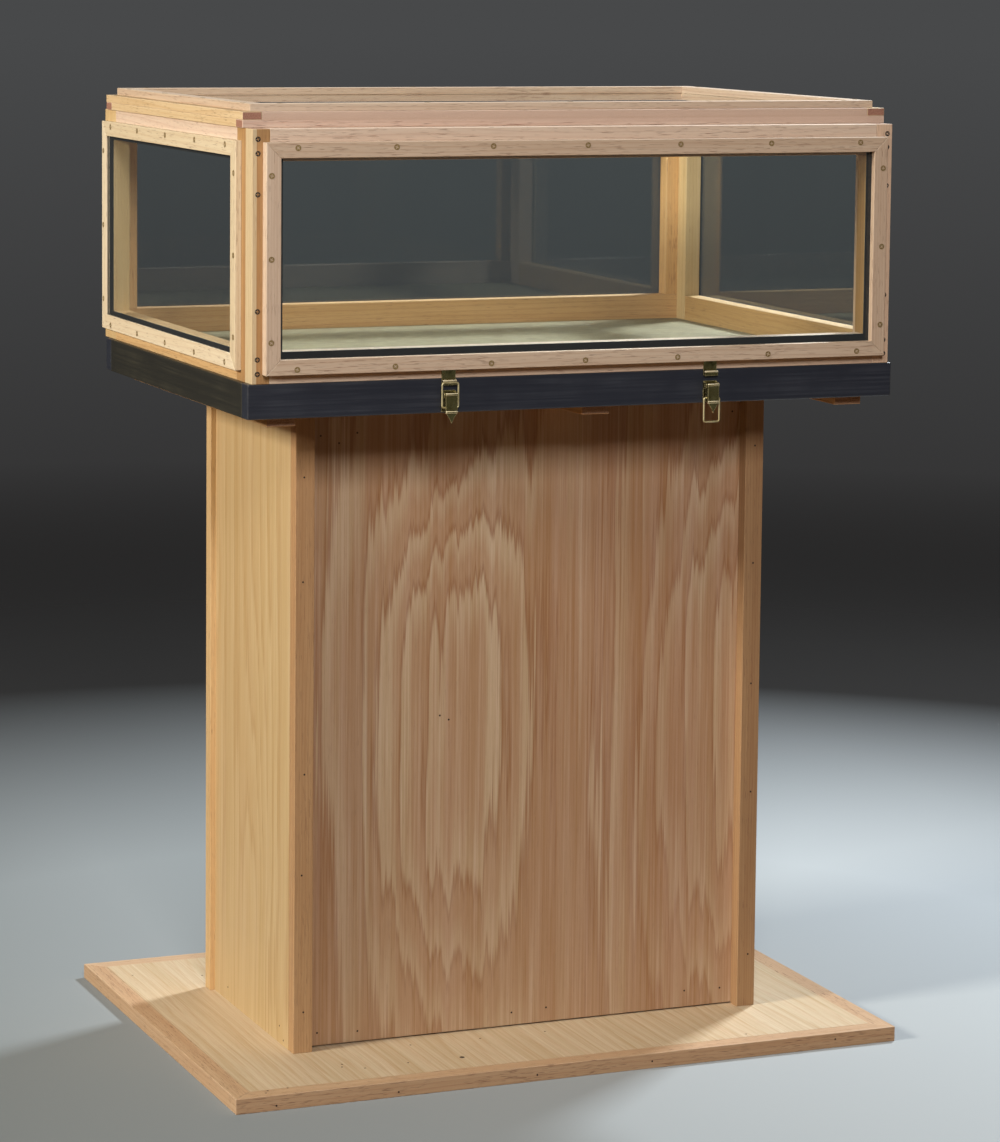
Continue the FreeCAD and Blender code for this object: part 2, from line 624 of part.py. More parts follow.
tray_leaves = []
hood_leaves = []
pins = []
leaf_back = f"({tray_back} + hinge_leaf_thickness)"
leaf_foot = f"({tray_top} - hinge_leaf_thickness)"
root_gap = "(hinge_knuckle_radius + hinge_clearance)"
for side, sign in (("left", "-1"), ("right", "1")):
    centre = f"({sign} * hinge_place)"
    low_x = f"({centre} - hinge_width / 2)"
    high_x = f"({centre} + hinge_width / 2)"
    inner_low = f"({centre} - hinge_middle_knuckle / 2)"
    inner_high = f"({centre} + hinge_middle_knuckle / 2)"
    ends = [(low_x, inner_low), (inner_high, high_x)]
    middle = (f"{inner_low} + hinge_clearance", f"{inner_high} - hinge_clearance")
    plate = board(f"{side}_tray_plate", (low_x, high_x), (tray_back, leaf_back),
                  (f"{hinge_pin_z} - hinge_leaf_height", f"{hinge_pin_z} - {root_gap}"))
    tabs = [board(f"{side}_tray_tab{number}", span, (tray_back, leaf_back),
                  (f"{hinge_pin_z} - hinge_leaf_height", hinge_pin_z)) for number, span in enumerate(ends)]
    tray_leaves.append(hinge_leaf(f"{side}_tray_leaf", [plate] + tabs, ends))
    plate = board(f"{side}_hood_plate", (low_x, high_x),
                  (f"{hinge_pin_y} + {root_gap}", f"{hinge_pin_y} + hinge_leaf_depth"), (leaf_foot, tray_top))
    tab = board(f"{side}_hood_tab", middle, (hinge_pin_y, f"{hinge_pin_y} + hinge_leaf_depth"),
                (leaf_foot, tray_top))
    hood_leaves.append(hinge_leaf(f"{side}_hood_leaf", [plate, tab], [middle]))
    pins.append(rod(f"{side}_hinge_pin", "hinge_pin_radius - pin_fit", (low_x, high_x),
                    hinge_pin_y, hinge_pin_z))
keep(group("tray_leaves", tray_leaves), "hinge_tray_leaves")
keep(group("hood_leaves", hood_leaves), "hinge_hood_leaves")

# Draw latches: plate, lever and wire bail on the tray, strike on the hood


def bail_shape(leg_direction):
    """Closed wire loop with its two ends turned in, in a plane through its pivot."""
    leg = size.bail_leg_place
    bend = size.bail_bend_radius
    end = size.lever_width / 2 - size.lever_flange - size.bail_end_overlap
    far = leg_direction * size.bail_length
    corners = [vec(-end, 0, 0), vec(-leg, 0, 0), vec(-leg, 0, far), vec(leg, 0, far), vec(leg, 0, 0), vec(end, 0, 0)]
    edges = []
    start = corners[0]
    for before, corner, after in zip(corners, corners[1:], corners[2:]):
        inward = (before - corner).normalize()
        outward = (after - corner).normalize()
        first = corner + inward * bend
        last = corner + outward * bend
        centre = corner + (inward + outward) * bend
        middle = centre + (corner - centre).normalize() * bend
        edges.append(Part.LineSegment(start, first).toShape())
        edges.append(Part.Arc(first, middle, last).toShape())
        start = last
    edges.append(Part.LineSegment(start, corners[-1]).toShape())
    section = Part.Wire([Part.makeCircle(size.bail_wire_radius, corners[0], vec(1, 0, 0))])
    return Part.Wire(edges).makePipeShell([section], True, False)


for side, sign, leg_direction in (("left", "-1", 1), ("right", "1", -1)):
    centre = f"({sign} * latch_place)"
    half_plate = "(latch_plate_width / 2)"
    plate_spans = (f"{centre} - {half_plate}", f"{centre} + {half_plate}")
    plate_face = f"({tray_front} - latch_plate_thickness)"
    plate_top = f"({latch_pin_z} + latch_ear_radius + latch_plate_thickness)"
    pieces = [board(f"{side}_plate", plate_spans, (plate_face, tray_front),
                    (f"{plate_top} - latch_plate_height", plate_top))]
    ear_inner = "(lever_width / 2 + latch_ear_gap)"
    ear_outer = f"({ear_inner} + latch_ear_thickness)"
    for number, span in enumerate(((f"{centre} - {ear_outer}", f"{centre} - {ear_inner}"),
                                   (f"{centre} + {ear_inner}", f"{centre} + {ear_outer}"))):
        pieces.append(board(f"{side}_ear_neck{number}", span, (latch_pin_y, plate_face),
                            (f"{latch_pin_z} - latch_ear_radius", f"{latch_pin_z} + latch_ear_radius")))
        pieces.append(rod(f"{side}_ear_eye{number}", "latch_ear_radius", span, latch_pin_y, latch_pin_z))
    bore = rod(f"{side}_plate_bore", "latch_pin_radius", plate_spans, latch_pin_y, latch_pin_z)
    keep(cut(f"{side}_latch_plate", fuse(f"{side}_plate_blank", pieces), bore), f"{side}_latch_plate")
    pins.append(rod(f"{side}_latch_pin", "latch_pin_radius - pin_fit", plate_spans, latch_pin_y, latch_pin_z))

    web_front = f"({tray_front} - lever_reach)"
    web_back = f"({web_front} + lever_wall)"
    lever_top = f"({latch_pin_z} + lever_top_rise)"
    lever_foot = f"({latch_pin_z} - lever_drop)"
    half_lever = "(lever_width / 2)"
    tip = f"({latch_pin_z} - lever_tip_drop)"
    shoulder = f"(({lever_foot} + {tip}) / 2)"
    outline = [(f"{centre} - {half_lever}", lever_top), (f"{centre} - {half_lever}", lever_foot),
               (f"{centre} - lever_tip_width", shoulder), (centre, tip),
               (f"{centre} + lever_tip_width", shoulder), (f"{centre} + {half_lever}", lever_foot),
               (f"{centre} + {half_lever}", lever_top)]
    pieces = [profile_body(f"{side}_web", "XZ_Plane", outline, f"0 - {web_back}", "lever_wall")]
    for name, low in (("top", f"({lever_top} - lever_bead)"), ("foot", lever_foot)):
        pieces.append(board(f"{side}_{name}_bead", (f"{centre} - {half_lever}", f"{centre} + {half_lever}"),
                            (f"{web_front} - lever_bead", web_front), (low, f"{low} + lever_bead")))
    eye_back = f"({latch_pin_y} + latch_pin_radius + lever_wall)"
    waist = f"({bail_pin_y} + bail_wire_radius + lever_wall)"
    flange = [(web_back, lever_foot), (waist, f"{lever_foot} + lever_bead"),
              (waist, f"{bail_pin_z} + bail_wire_radius + lever_wall"),
              (eye_back, f"{latch_pin_z} - latch_pin_radius"), (eye_back, f"{latch_pin_z} + latch_pin_radius"),
              (latch_pin_y, f"{latch_pin_z} + latch_pin_radius + lever_wall"), (web_back, lever_top)]
    for number, start in enumerate((f"{centre} - {half_lever}", f"{centre} + {half_lever} - lever_flange")):
        pieces.append(profile_body(f"{side}_flange{number}", "YZ_Plane", flange, start, "lever_flange"))
    lever_spans = (f"{centre} - {half_lever}", f"{centre} + {half_lever}")
    pin_bore = rod(f"{side}_lever_bore", "latch_pin_radius", lever_spans, latch_pin_y, latch_pin_z)
    bail_bore = rod(f"{side}_bail_bore", "bail_wire_radius + pin_fit", lever_spans, bail_pin_y, bail_pin_z)
    keep(cut(f"{side}_latch_lever", fuse(f"{side}_lever_blank", pieces), pin_bore, bail_bore),
         f"{side}_latch_lever")

    bail = doc.addObject("Part::Feature", f"{side}_bail")
    bail.Shape = bail_shape(leg_direction)
    keep(place(bail, centre, bail_pin_y, bail_pin_z), f"{side}_latch_bail")

    strike_face = f"({tray_front} - strike_thickness)"
    hook_face = f"({tray_front} - strike_hook_reach)"
    strike_foot = f"({tray_top} - strike_drop)"
    strike_top = f"({tray_top} + strike_rise)"
    relief_face = f"({tray_front} - strike_relief)"
    relief_top = f"({tray_top} + strike_relief)"
    trough = f"({strike_foot} + strike_thickness - strike_relief)"
    lip_back = f"({hook_face} + strike_thickness - strike_relief)"
    lip_top = f"({strike_foot} + strike_hook_height)"
    outline = [(tray_front, strike_top), (strike_face, strike_top), (strike_face, trough),
               (lip_back, trough), (lip_back, lip_top), (hook_face, lip_top), (hook_face, strike_foot),
               (relief_face, strike_foot), (relief_face, relief_top), (tray_front, relief_top)]
    keep(profile_body(f"{side}_strike", "YZ_Plane", outline, f"{centre} - strike_width / 2",
                      "strike_width"), f"{side}_latch_strike")
keep(group("all_pins", pins), "latch_and_hinge_pins")

doc.recompute()

broken = [item.Name for item in doc.Objects if "Invalid" in item.State or "Error" in item.State]
if broken:
    raise RuntimeError(f"objects in error: {broken}")
for part in parts:
    if part.Shape.isNull() or not part.Shape.isValid() or not part.Shape.Solids:
        raise RuntimeError(f"{part.Label} has no valid shape")

os.makedirs("parts", exist_ok=True)
for part in parts:
    part.Shape.exportStep(os.path.join("parts", f"{part.Label}.step"))
print(f"{len(parts)} nodes, {sum(len(part.Shape.Solids) for part in parts)} solids")
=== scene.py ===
import math
import random

import bmesh
import bpy
from mathutils import Matrix, Vector


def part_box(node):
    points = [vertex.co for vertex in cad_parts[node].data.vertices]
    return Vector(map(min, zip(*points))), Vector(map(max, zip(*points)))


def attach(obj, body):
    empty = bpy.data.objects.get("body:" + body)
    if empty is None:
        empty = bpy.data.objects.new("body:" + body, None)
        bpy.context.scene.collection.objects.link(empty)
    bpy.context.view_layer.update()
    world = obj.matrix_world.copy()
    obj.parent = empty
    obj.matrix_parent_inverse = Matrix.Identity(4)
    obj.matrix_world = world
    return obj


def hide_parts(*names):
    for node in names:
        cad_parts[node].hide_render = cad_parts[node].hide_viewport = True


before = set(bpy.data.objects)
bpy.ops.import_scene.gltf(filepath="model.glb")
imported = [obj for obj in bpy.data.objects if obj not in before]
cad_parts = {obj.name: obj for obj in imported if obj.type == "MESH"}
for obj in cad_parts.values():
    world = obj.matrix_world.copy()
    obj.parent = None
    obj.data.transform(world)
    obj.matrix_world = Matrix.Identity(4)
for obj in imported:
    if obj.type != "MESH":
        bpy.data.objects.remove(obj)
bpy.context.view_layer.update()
mm = 0.001
scene = bpy.context.scene
print("frame loaded:", len(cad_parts), "nodes")


# Camera, at the photo's place: turned from the front, tipped down and rolled a little

cameraView = {
    "place": (-1.8262, -4.4701, 1.3703),
    "turnDegrees": -22.454,
    "tipDegrees": 5.867,
    "rollDegrees": 0.573,
    "lens": 118.02,
    "shiftY": -0.1935,
    "clipEnd": 500,
}


def buildCamera(view):
    data = bpy.data.cameras.new("photoCamera")
    data.lens = view["lens"]
    data.shift_y = view["shiftY"]
    data.clip_end = view["clipEnd"]
    camera = bpy.data.objects.new("photoCamera", data)
    scene.collection.objects.link(camera)
    turn = Matrix.Rotation(math.radians(view["turnDegrees"]), 4, "Z")
    tip = Matrix.Rotation(math.radians(90 - view["tipDegrees"]), 4, "X")
    roll = Matrix.Rotation(math.radians(view["rollDegrees"]), 4, "Z")
    camera.matrix_world = Matrix.Translation(view["place"]) @ turn @ tip @ roll
    scene.camera = camera


# Node helpers

class Signal:
    # An output socket that sums and products can be written with; each step adds one math node
    def __init__(self, socket):
        self.socket = socket

    def __add__(self, other):
        return maths("ADD", self, other)

    def __sub__(self, other):
        return maths("SUBTRACT", self, other)

    def __rsub__(self, other):
        return maths("SUBTRACT", other, self)

    def __mul__(self, other):
        return maths("MULTIPLY", self, other)

    def __truediv__(self, other):
        return maths("DIVIDE", self, other)

    def __rtruediv__(self, other):
        return maths("DIVIDE", other, self)


def treeOf(*terms):
    return next(term.socket.id_data for term in terms if isinstance(term, Signal))


def feed(node, inputs):
    for key, source in inputs.items():
        if isinstance(source, Signal):
            node.id_data.links.new(source.socket, node.inputs[key])
        else:
            node.inputs[key].default_value = source


def addNode(tree, kind, inputs=None, **settings):
    node = tree.nodes.new(kind)
    for name, setting in settings.items():
        setattr(node, name, setting)
    feed(node, inputs or {})
    return node


def fromNode(tree, kind, inputs=None, output=0, **settings):
    return Signal(addNode(tree, kind, inputs, **settings).outputs[output])


def maths(operation, first, second=0.0, clamp=False):
    return fromNode(treeOf(first, second), "ShaderNodeMath", {0: first, 1: second},
                    operation=operation, use_clamp=clamp)


def vectorMaths(operation, first, second=(0, 0, 0)):
    output = "Value" if operation in ("LENGTH", "DOT_PRODUCT") else "Vector"
    return fromNode(treeOf(first, second), "ShaderNodeVectorMath", {0: first, 1: second}, output,
                    operation=operation)


def split(vector):
    parts = addNode(treeOf(vector), "ShaderNodeSeparateXYZ", {0: vector})
    return [Signal(socket) for socket in parts.outputs]


def join(x=0.0, y=0.0, z=0.0):
    return fromNode(treeOf(x, y, z), "ShaderNodeCombineXYZ", {0: x, 1: y, 2: z})


def remap(source, low, high, newLow=0.0, newHigh=1.0):
    values = {"Value": source, "From Min": low, "From Max": high, "To Min": newLow, "To Max": newHigh}
    return fromNode(treeOf(source), "ShaderNodeMapRange", values, "Result")


# Linear colour from the eight bit values that a colour picker shows
def tone(colour):
    linear = []
    for channel in colour:
        share = channel / 255
        linear.append(share / 12.92 if share <= 0.04045 else ((share + 0.055) / 1.055) ** 2.4)
    return (*linear, 1.0)


def mixColour(factor, first, second):
    first, second = (colour if isinstance(colour, Signal) else tone(colour) for colour in (first, second))
    return fromNode(treeOf(factor), "ShaderNodeMix", {0: factor, 6: first, 7: second}, 2, data_type="RGBA")


# Noise whose cells are as small as stretch says, in cells per metre along each axis
def noise(vector, stretch, detail=3.0, roughness=0.5, scale=1.0):
    scaled = vectorMaths("MULTIPLY", vector, stretch)
    return fromNode(treeOf(vector), "ShaderNodeTexNoise",
                    {"Vector": scaled, "Scale": scale, "Detail": detail, "Roughness": roughness}, "Fac")


def bump(height, distance):
    return fromNode(treeOf(height), "ShaderNodeBump", {"Height": height, "Distance": distance})


def attribute(tree, name):
    return fromNode(tree, "ShaderNodeAttribute", output="Fac", attribute_name=name)


def objectPoint(tree):
    return fromNode(tree, "ShaderNodeTexCoord", output="Object")


# One for rays of any of these kinds
def isRay(tree, *kinds):
    path = addNode(tree, "ShaderNodeLightPath")
    found = Signal(path.outputs[f"Is {kinds[0]} Ray"])
    for kind in kinds[1:]:
        found = maths("MAXIMUM", found, Signal(path.outputs[f"Is {kind} Ray"]))
    return found


# New group; inputs and outputs give the labels under each kind of socket
def newTree(name, kind, inputs, outputs):
    tree = bpy.data.node_groups.new(name, kind)
    for way, kinds in (("INPUT", inputs), ("OUTPUT", outputs)):
        for socketKind, labels in kinds.items():
            for label in labels:
                tree.interface.new_socket(label, in_out=way, socket_type=f"NodeSocket{socketKind}")
    source, target = tree.nodes.new("NodeGroupInput"), tree.nodes.new("NodeGroupOutput")
    return tree, {socket.name: Signal(socket) for socket in source.outputs}, target


def useGroup(group, inputs):
    node = addNode(treeOf(*inputs.values()), "ShaderNodeGroup", inputs, node_tree=group)
    return {socket.name: Signal(socket) for socket in node.outputs}


# Effects that several materials share: fibre, figure, worn edges with painted edge highlights, and smudges

woodGrain = {  # cells per metre across, across and along the grain
    "broad": (30, 30, 1.1), "middle": (130, 130, 4.0), "fine": (620, 620, 14), "waver": (14, 14, 1.3),
    "dash": (1500, 1500, 55), "crowd": (60, 60, 9),
}


# Streaks, short dark pores and fine rings of open grained wood; the grain runs along the vector's Z
def buildFibreGroup():
    tree, given, out = newTree(
        "woodFibre", "ShaderNodeTree", {"Vector": ["Vector"], "Float": ["Ring Spacing", "Pore Amount"]},
        {"Float": ["Streak", "Rings", "Pores", "Height"]})
    point = given["Vector"]
    broad = noise(point, woodGrain["broad"], 4, 0.6)
    middle = noise(point, woodGrain["middle"], 3, 0.55)
    fine = noise(point, woodGrain["fine"], 2)
    streak = broad * 0.5 + middle * 0.3 + fine * 0.2
    parts = split(point)
    bent = parts[0] + parts[1] * 0.6 + noise(point, woodGrain["waver"], 2) * 0.03
    limit = 0.74 - noise(point, woodGrain["crowd"], 2) * 0.18
    pores = remap(noise(point, woodGrain["dash"], 1) - limit, 0.0, 0.06) * given["Pore Amount"]
    feed(out, {"Streak": remap(streak, 0.36, 0.64), "Rings": maths("FRACT", bent / given["Ring Spacing"]),
               "Pores": pores, "Height": fine * 0.4 - pores})
    return tree


# Nested arches of sliced veneer: two long hills on a slope, cut into bands. X is across, Z along
def buildFigureGroup():
    tree, given, out = newTree(
        "veneerFigure", "ShaderNodeTree",
        {"Vector": ["Vector", "First Place", "First Reach", "Second Place", "Second Reach"],
         "Float": ["First Bands", "Second Bands", "Slope", "Ragged", "Top Squeeze"]},
        {"Float": ["Band", "Calm"]})
    point = given["Vector"]

    def centred(stretch, detail, scale):
        return (noise(point, stretch, detail, 0.55) - 0.5) * scale
    level = split(point)[2]
    sway = centred((4, 4, 1.5), 2, 0.10) + centred((24, 24, 2.2), 3, 0.012)
    flames = centred((24, 24, 1.2), 1, 2.7) + centred((110, 110, 2.4), 1, 0.22)
    flames = flames * remap(level, 0.12, 0.5, 0.35, 1.0) * given["Ragged"]
    swayed = vectorMaths("ADD", point, join(sway, 0.0, flames))
    hills = []
    for label in ("First", "Second"):
        local = vectorMaths("SUBTRACT", swayed, given[f"{label} Place"])
        across, _, along = split(vectorMaths("DIVIDE", local, given[f"{label} Reach"]))
        above = maths("MAXIMUM", along, 0.0) * given["Top Squeeze"]
        reach = maths("POWER", above - maths("MINIMUM", along, 0.0), 3.0)
        hills.append(maths("EXPONENT", (across * across + reach) * -1.0) * given[f"{label} Bands"])
    depth = hills[0] + hills[1] + split(swayed)[0] * given["Slope"]
    depth = depth + centred((64, 64, 0.8), 2, 1.5) + centred((380, 380, 5.0), 3, 0.75)
    feed(out, {"Band": maths("FRACT", depth), "Calm": remap(level, 0.36, 0.14)})
    return tree


# Mask that is one on edges, broken up by noise: worn edges, and on brass and oak also a painted edge
# highlight
def buildWearAndHighlightEdgeGroup():
    tree, given, out = newTree(
        "wearAndHighlightEdge", "ShaderNodeTree", {"Vector": ["Vector"], "Float": ["Width", "Break Up"]},
        {"Float": ["Edge"]})
    rounded = fromNode(tree, "ShaderNodeBevel", {"Radius": given["Width"]}, samples=4)
    true = fromNode(tree, "ShaderNodeNewGeometry", output="True Normal")
    edge = remap(vectorMaths("DOT_PRODUCT", rounded, true), 0.999, 0.86)
    broken = remap(noise(given["Vector"], (45, 45, 45), 4, 0.6), 0.35, 0.68)
    feed(out, {"Edge": maths("MULTIPLY", edge, 1.0 - given["Break Up"] * broken, clamp=True)})
    return tree


# Soft clouds of handling marks and dust, with a finer speckle
def buildSmudgeGroup():
    tree, given, out = newTree(
        "smudge", "ShaderNodeTree", {"Vector": ["Vector"], "Float": ["Size"]},
        {"Float": ["Cloud", "Speckle"]})
    perMetre = 1.0 / given["Size"]
    cloud = noise(given["Vector"], perMetre, 4, 0.6)
    speck = noise(given["Vector"], perMetre, 2, 0.5, scale=22.0)
    feed(out, {"Cloud": remap(cloud, 0.35, 0.68), "Speckle": remap(speck, 0.62, 0.74)})
    return tree


fibreGroup = buildFibreGroup()
figureGroup = buildFigureGroup()
wearAndHighlightEdgeGroup = buildWearAndHighlightEdgeGroup()
smudgeGroup = buildSmudgeGroup()


def fibreOf(point, look):
    return useGroup(fibreGroup, {"Vector": point, "Ring Spacing": look["ringSpacing"],
                                 "Pore Amount": look["poreAmount"]})


def wearAndHighlightEdge(point, width, breakUp):
    return useGroup(wearAndHighlightEdgeGroup, {"Vector": point, "Width": width, "Break Up": breakUp})["Edge"]


def smudges(point, size):
    return useGroup(smudgeGroup, {"Vector": point, "Size": size})


# Materials

grainOrders = {"x": (1, 2, 0), "y": (0, 2, 1), "z": (0, 1, 2),
               "side": (1, 0, 2)}  # the side panels lie across Y, so their figure reads Y as its width
stickShift = (3.7, 5.3, 9.1)
speckleBump = 0.03 * mm


def newMaterial(name):
    material = bpy.data.materials.new(name)
    material.use_nodes = True
    tree = material.node_tree
    tree.nodes.clear()
    shader = addNode(tree, "ShaderNodeBsdfPrincipled")
    addNode(tree, "ShaderNodeOutputMaterial", {"Surface": Signal(shader.outputs[0])})
    return material, tree, shader


# Object coordinates with the grain turned onto Z and shifted for each stick of a piece
def grainPoint(tree, axis):
    parts = split(objectPoint(tree))
    stick = attribute(tree, "stick")
    turned = join(*(parts[place] for place in grainOrders[axis]))
    return vectorMaths("ADD", turned, join(*(stick * step for step in stickShift))), stick


oakLook = {
    "pale": (212, 192, 170),
    "deep": (194, 168, 144),
    "ring": (176, 140, 116),
    "pore": (122, 82, 62),
    "edge": (226, 208, 182),
    "endGrain": (156, 116, 90),
    "endPale": (188, 152, 124),
    "ringSpacing": 4.2 * mm,
    "poreAmount": 0.8,
    "roughness": 0.55,
    "bump": 0.2 * mm,
    "wearAndHighlightWidth": 1.5 * mm,
}


# One in the outer front corner of a front post, which keeps the plain pale oak while the rest of the post is
# painted shade
def unshadedCornerMask(tree, corner):
    x, y, _ = split(objectPoint(tree))
    outward = remap(maths("ABSOLUTE", x), corner["x"] - corner["blend"], corner["x"])
    return outward * remap(y, corner["y"] + corner["blend"], corner["y"])


# Planed solid oak with its grain along one axis, and with an unshaded pale corner where the look paints shade
# on the rest
def buildOak(name, axis, look):
    material, tree, shader = newMaterial(name)
    sap = unshadedCornerMask(tree, look["unshadedCorner"]) if "unshadedCorner" in look else None

    def wood(key):
        return mixColour(sap, look[key], look["sap"][key]) if sap else look[key]
    point, stick = grainPoint(tree, axis)
    fibre = fibreOf(point, look)
    colour = mixColour(fibre["Streak"], wood("pale"), wood("deep"))
    ringLine = remap(fibre["Rings"], 0.55, 1.0)
    colour = mixColour(ringLine * ringLine * 0.45, colour, wood("ring"))
    colour = mixColour(fibre["Pores"] * 0.8, colour, look["pore"])
    shade = fromNode(tree, "ShaderNodeHueSaturation",
                     {"Color": colour, "Value": remap(stick, 0, 1, 0.93, 1.06),
                      "Saturation": remap(stick, 0, 1, 1.08, 0.95)})
    # Paler edges: partly wear, partly a painted highlight
    shade = mixColour(wearAndHighlightEdge(point, look["wearAndHighlightWidth"], 0.7) * 0.45, shade, look["edge"])
    facing = split(fromNode(tree, "ShaderNodeTexCoord", output="Normal"))["xyz".index(axis)]
    pits = remap(noise(point, (900, 900, 900), 2, 0.6), 0.42, 0.6)
    endGrain = mixColour(pits, look["endGrain"], look["endPale"])
    shade = mixColour(remap(maths("ABSOLUTE", facing), 0.9, 0.97), shade, endGrain)
    feed(shader, {
        "Base Color": shade, "Normal": bump(fibre["Height"], look["bump"]),
        "Roughness": remap(fibre["Streak"], 0, 1, look["roughness"] - 0.06, look["roughness"] + 0.08)})
    return material


# Sliced veneer with flames, bands and fine fibre
def buildVeneer(name, axis, look):
    material, tree, shader = newMaterial(name)
    point, _ = grainPoint(tree, axis)
    figure = useGroup(figureGroup, {"Vector": point, **look["figure"]})
    fibre = fibreOf(point, look)
    ramp = addNode(tree, "ShaderNodeValToRGB", {"Fac": figure["Band"]})
    stops = ramp.color_ramp.elements
    stops[0].color = stops[1].color = tone(look["line"])
    for position, key in ((0.14, "pale"), (0.26, "pale"), (0.6, "deep"), (0.84, "deep")):
        stops.new(position).color = tone(look[key])
    colour = mixColour(figure["Calm"] * look["calm"], Signal(ramp.outputs[0]), look["deep"])
    redness = remap(noise(point, (7, 7, 0.8)), 0.4, 0.66, 0.0, look["redAmount"])
    colour = mixColour(redness, colour, look["red"])
    threads = remap(noise(point, (420, 420, 2.6), 4, 0.65), 0.34, 0.66, -0.5, 0.5)
    streak = (remap(fibre["Streak"], 0, 1, -0.5, 0.5) + threads) * look["streakAmount"]
    shade = fromNode(tree, "ShaderNodeHueSaturation",
                     {"Color": colour, "Value": 1.0 - streak, "Saturation": streak + 1.0})
    shade = mixColour(fibre["Pores"] * 0.5, shade, look["pore"])
    feed(shader, {
        "Base Color": shade, "Normal": bump(fibre["Height"], look["bump"]),
        "Roughness": remap(fibre["Streak"], 0, 1, look["roughness"] - 0.05, look["roughness"] + 0.07)})
    return material


frontPanelLook = {
    "figure": {"First Place": (-0.109, 0, 0.43), "First Reach": (0.105, 10, 0.38), "First Bands": 3.6,
               "Second Place": (0.285, 0, 0.45), "Second Reach": (0.095, 10, 0.4), "Second Bands": 3.2,
               "Slope": 8.0, "Ragged": 0.04, "Top Squeeze": 1.35},
    "pale": (198, 172, 140), "deep": (182, 147, 114), "line": (160, 119, 86), "red": (170, 122, 90),
    "calm": 0.4, "pore": (112, 72, 48), "redAmount": 0.4, "streakAmount": 0.2,
    "ringSpacing": 3 * mm, "poreAmount": 0.3, "roughness": 0.5, "bump": 0.15 * mm,
}
# The side panels' veneer is yellower, partly its own tone and partly painted warm light of the left side
sidePanelLook = {
    "figure": {"First Place": (-0.02, 0, 0.02), "First Reach": (0.06, 10, 0.4), "First Bands": 3.0,
               "Second Place": (0.9, 0, 0.5), "Second Reach": (0.1, 10, 0.3), "Second Bands": 0.0,
               "Slope": 26.0, "Ragged": 0.03, "Top Squeeze": 1.0},
    "pale": (200, 174, 130), "deep": (195, 167, 122), "line": (184, 152, 106), "red": (192, 156, 110),
    "calm": 0.0, "pore": (150, 108, 70), "redAmount": 0.3, "streakAmount": 0.1,
    "ringSpacing": 3 * mm, "poreAmount": 0.25, "roughness": 0.5, "bump": 0.15 * mm,
}
basePanelLook = {
    "figure": {"First Place": (-0.2, 0, -0.1), "First Reach": (0.2, 10, 0.5), "First Bands": 2.0,
               "Second Place": (0.22, 0, 0.1), "Second Reach": (0.16, 10, 0.5), "Second Bands": 2.0,
               "Slope": 60.0, "Ragged": 0.03, "Top Squeeze": 1.0},
    "pale": (206, 187, 156), "deep": (202, 180, 148), "line": (194, 167, 132), "red": (198, 170, 134),
    "calm": 0.0, "pore": (150, 108, 72), "redAmount": 0.3, "streakAmount": 0.16,
    "ringSpacing": 3.5 * mm, "poreAmount": 0.35, "roughness": 0.55, "bump": 0.15 * mm,
}

# The blue tint of the front and back paint is partly a painted sheen; the side boards' browner copy is
# painted warm light
blackPaintLook = {
    "paint": (38, 41, 51), "rubbed": (62, 66, 75), "wood": (88, 84, 76),
    "roughness": 0.42, "strokeBump": 0.25 * mm, "wearAndHighlightWidth": 2.2 * mm, "smudgeSize": 90 * mm,
}
sidePaintLook = dict(blackPaintLook, paint=(40, 39, 34), rubbed=(60, 56, 42), wood=(84, 76, 58))


# Brushed black paint, thin and rubbed along the edges; its paler clouds along the strokes are partly rubbing,
# partly a painted sheen
def buildBlackPaint(name, axis, look):
    material, tree, shader = newMaterial(name)
    point, _ = grainPoint(tree, axis)
    strokes = noise(point, (260, 260, 5), 4, 0.6)
    rubbed = smudges(point, look["smudgeSize"])["Cloud"] * remap(strokes, 0.4, 0.65)
    colour = mixColour(rubbed * 0.55, look["paint"], look["rubbed"])
    colour = mixColour(wearAndHighlightEdge(point, look["wearAndHighlightWidth"], 0.95) * 0.7, colour, look["wood"])
    feed(shader, {"Base Color": colour, "Normal": bump(strokes, look["strokeBump"]),
                  "Roughness": remap(rubbed, 0, 1, look["roughness"] - 0.06, look["roughness"] + 0.16)})
    return material


brassLook = {"bright": (178, 164, 108), "dull": (98, 90, 54), "dirt": (66, 54, 34), "edge": (238, 222, 168),
             "roughness": 0.2, "metal": 1.0, "smudgeSize": 11 * mm, "wearAndHighlightWidth": 0.9 * mm}
# Pale brass, barely metallic, for the beads: a painted highlight
paintedHighlightLook = dict(brassLook, bright=(252, 242, 212), dull=(228, 212, 164), dirt=(120, 98, 60),
                  edge=(252, 246, 222), roughness=0.34, metal=0.3)
# Paler, half metallic brass for the bails: partly painted highlight
bailLook = dict(brassLook, bright=(226, 214, 168), dull=(160, 146, 98), dirt=(96, 78, 48),
                edge=(238, 226, 186), roughness=0.3, metal=0.6)
screwLook = dict(brassLook, bright=(196, 170, 116), dull=(152, 126, 80), dirt=(96, 76, 48),
                 edge=(150, 124, 84), roughness=0.4, metal=0.9)
steelLook = {"bright": (74, 70, 68), "dull": (38, 36, 34), "dirt": (22, 18, 15), "smudgeSize": 6 * mm}


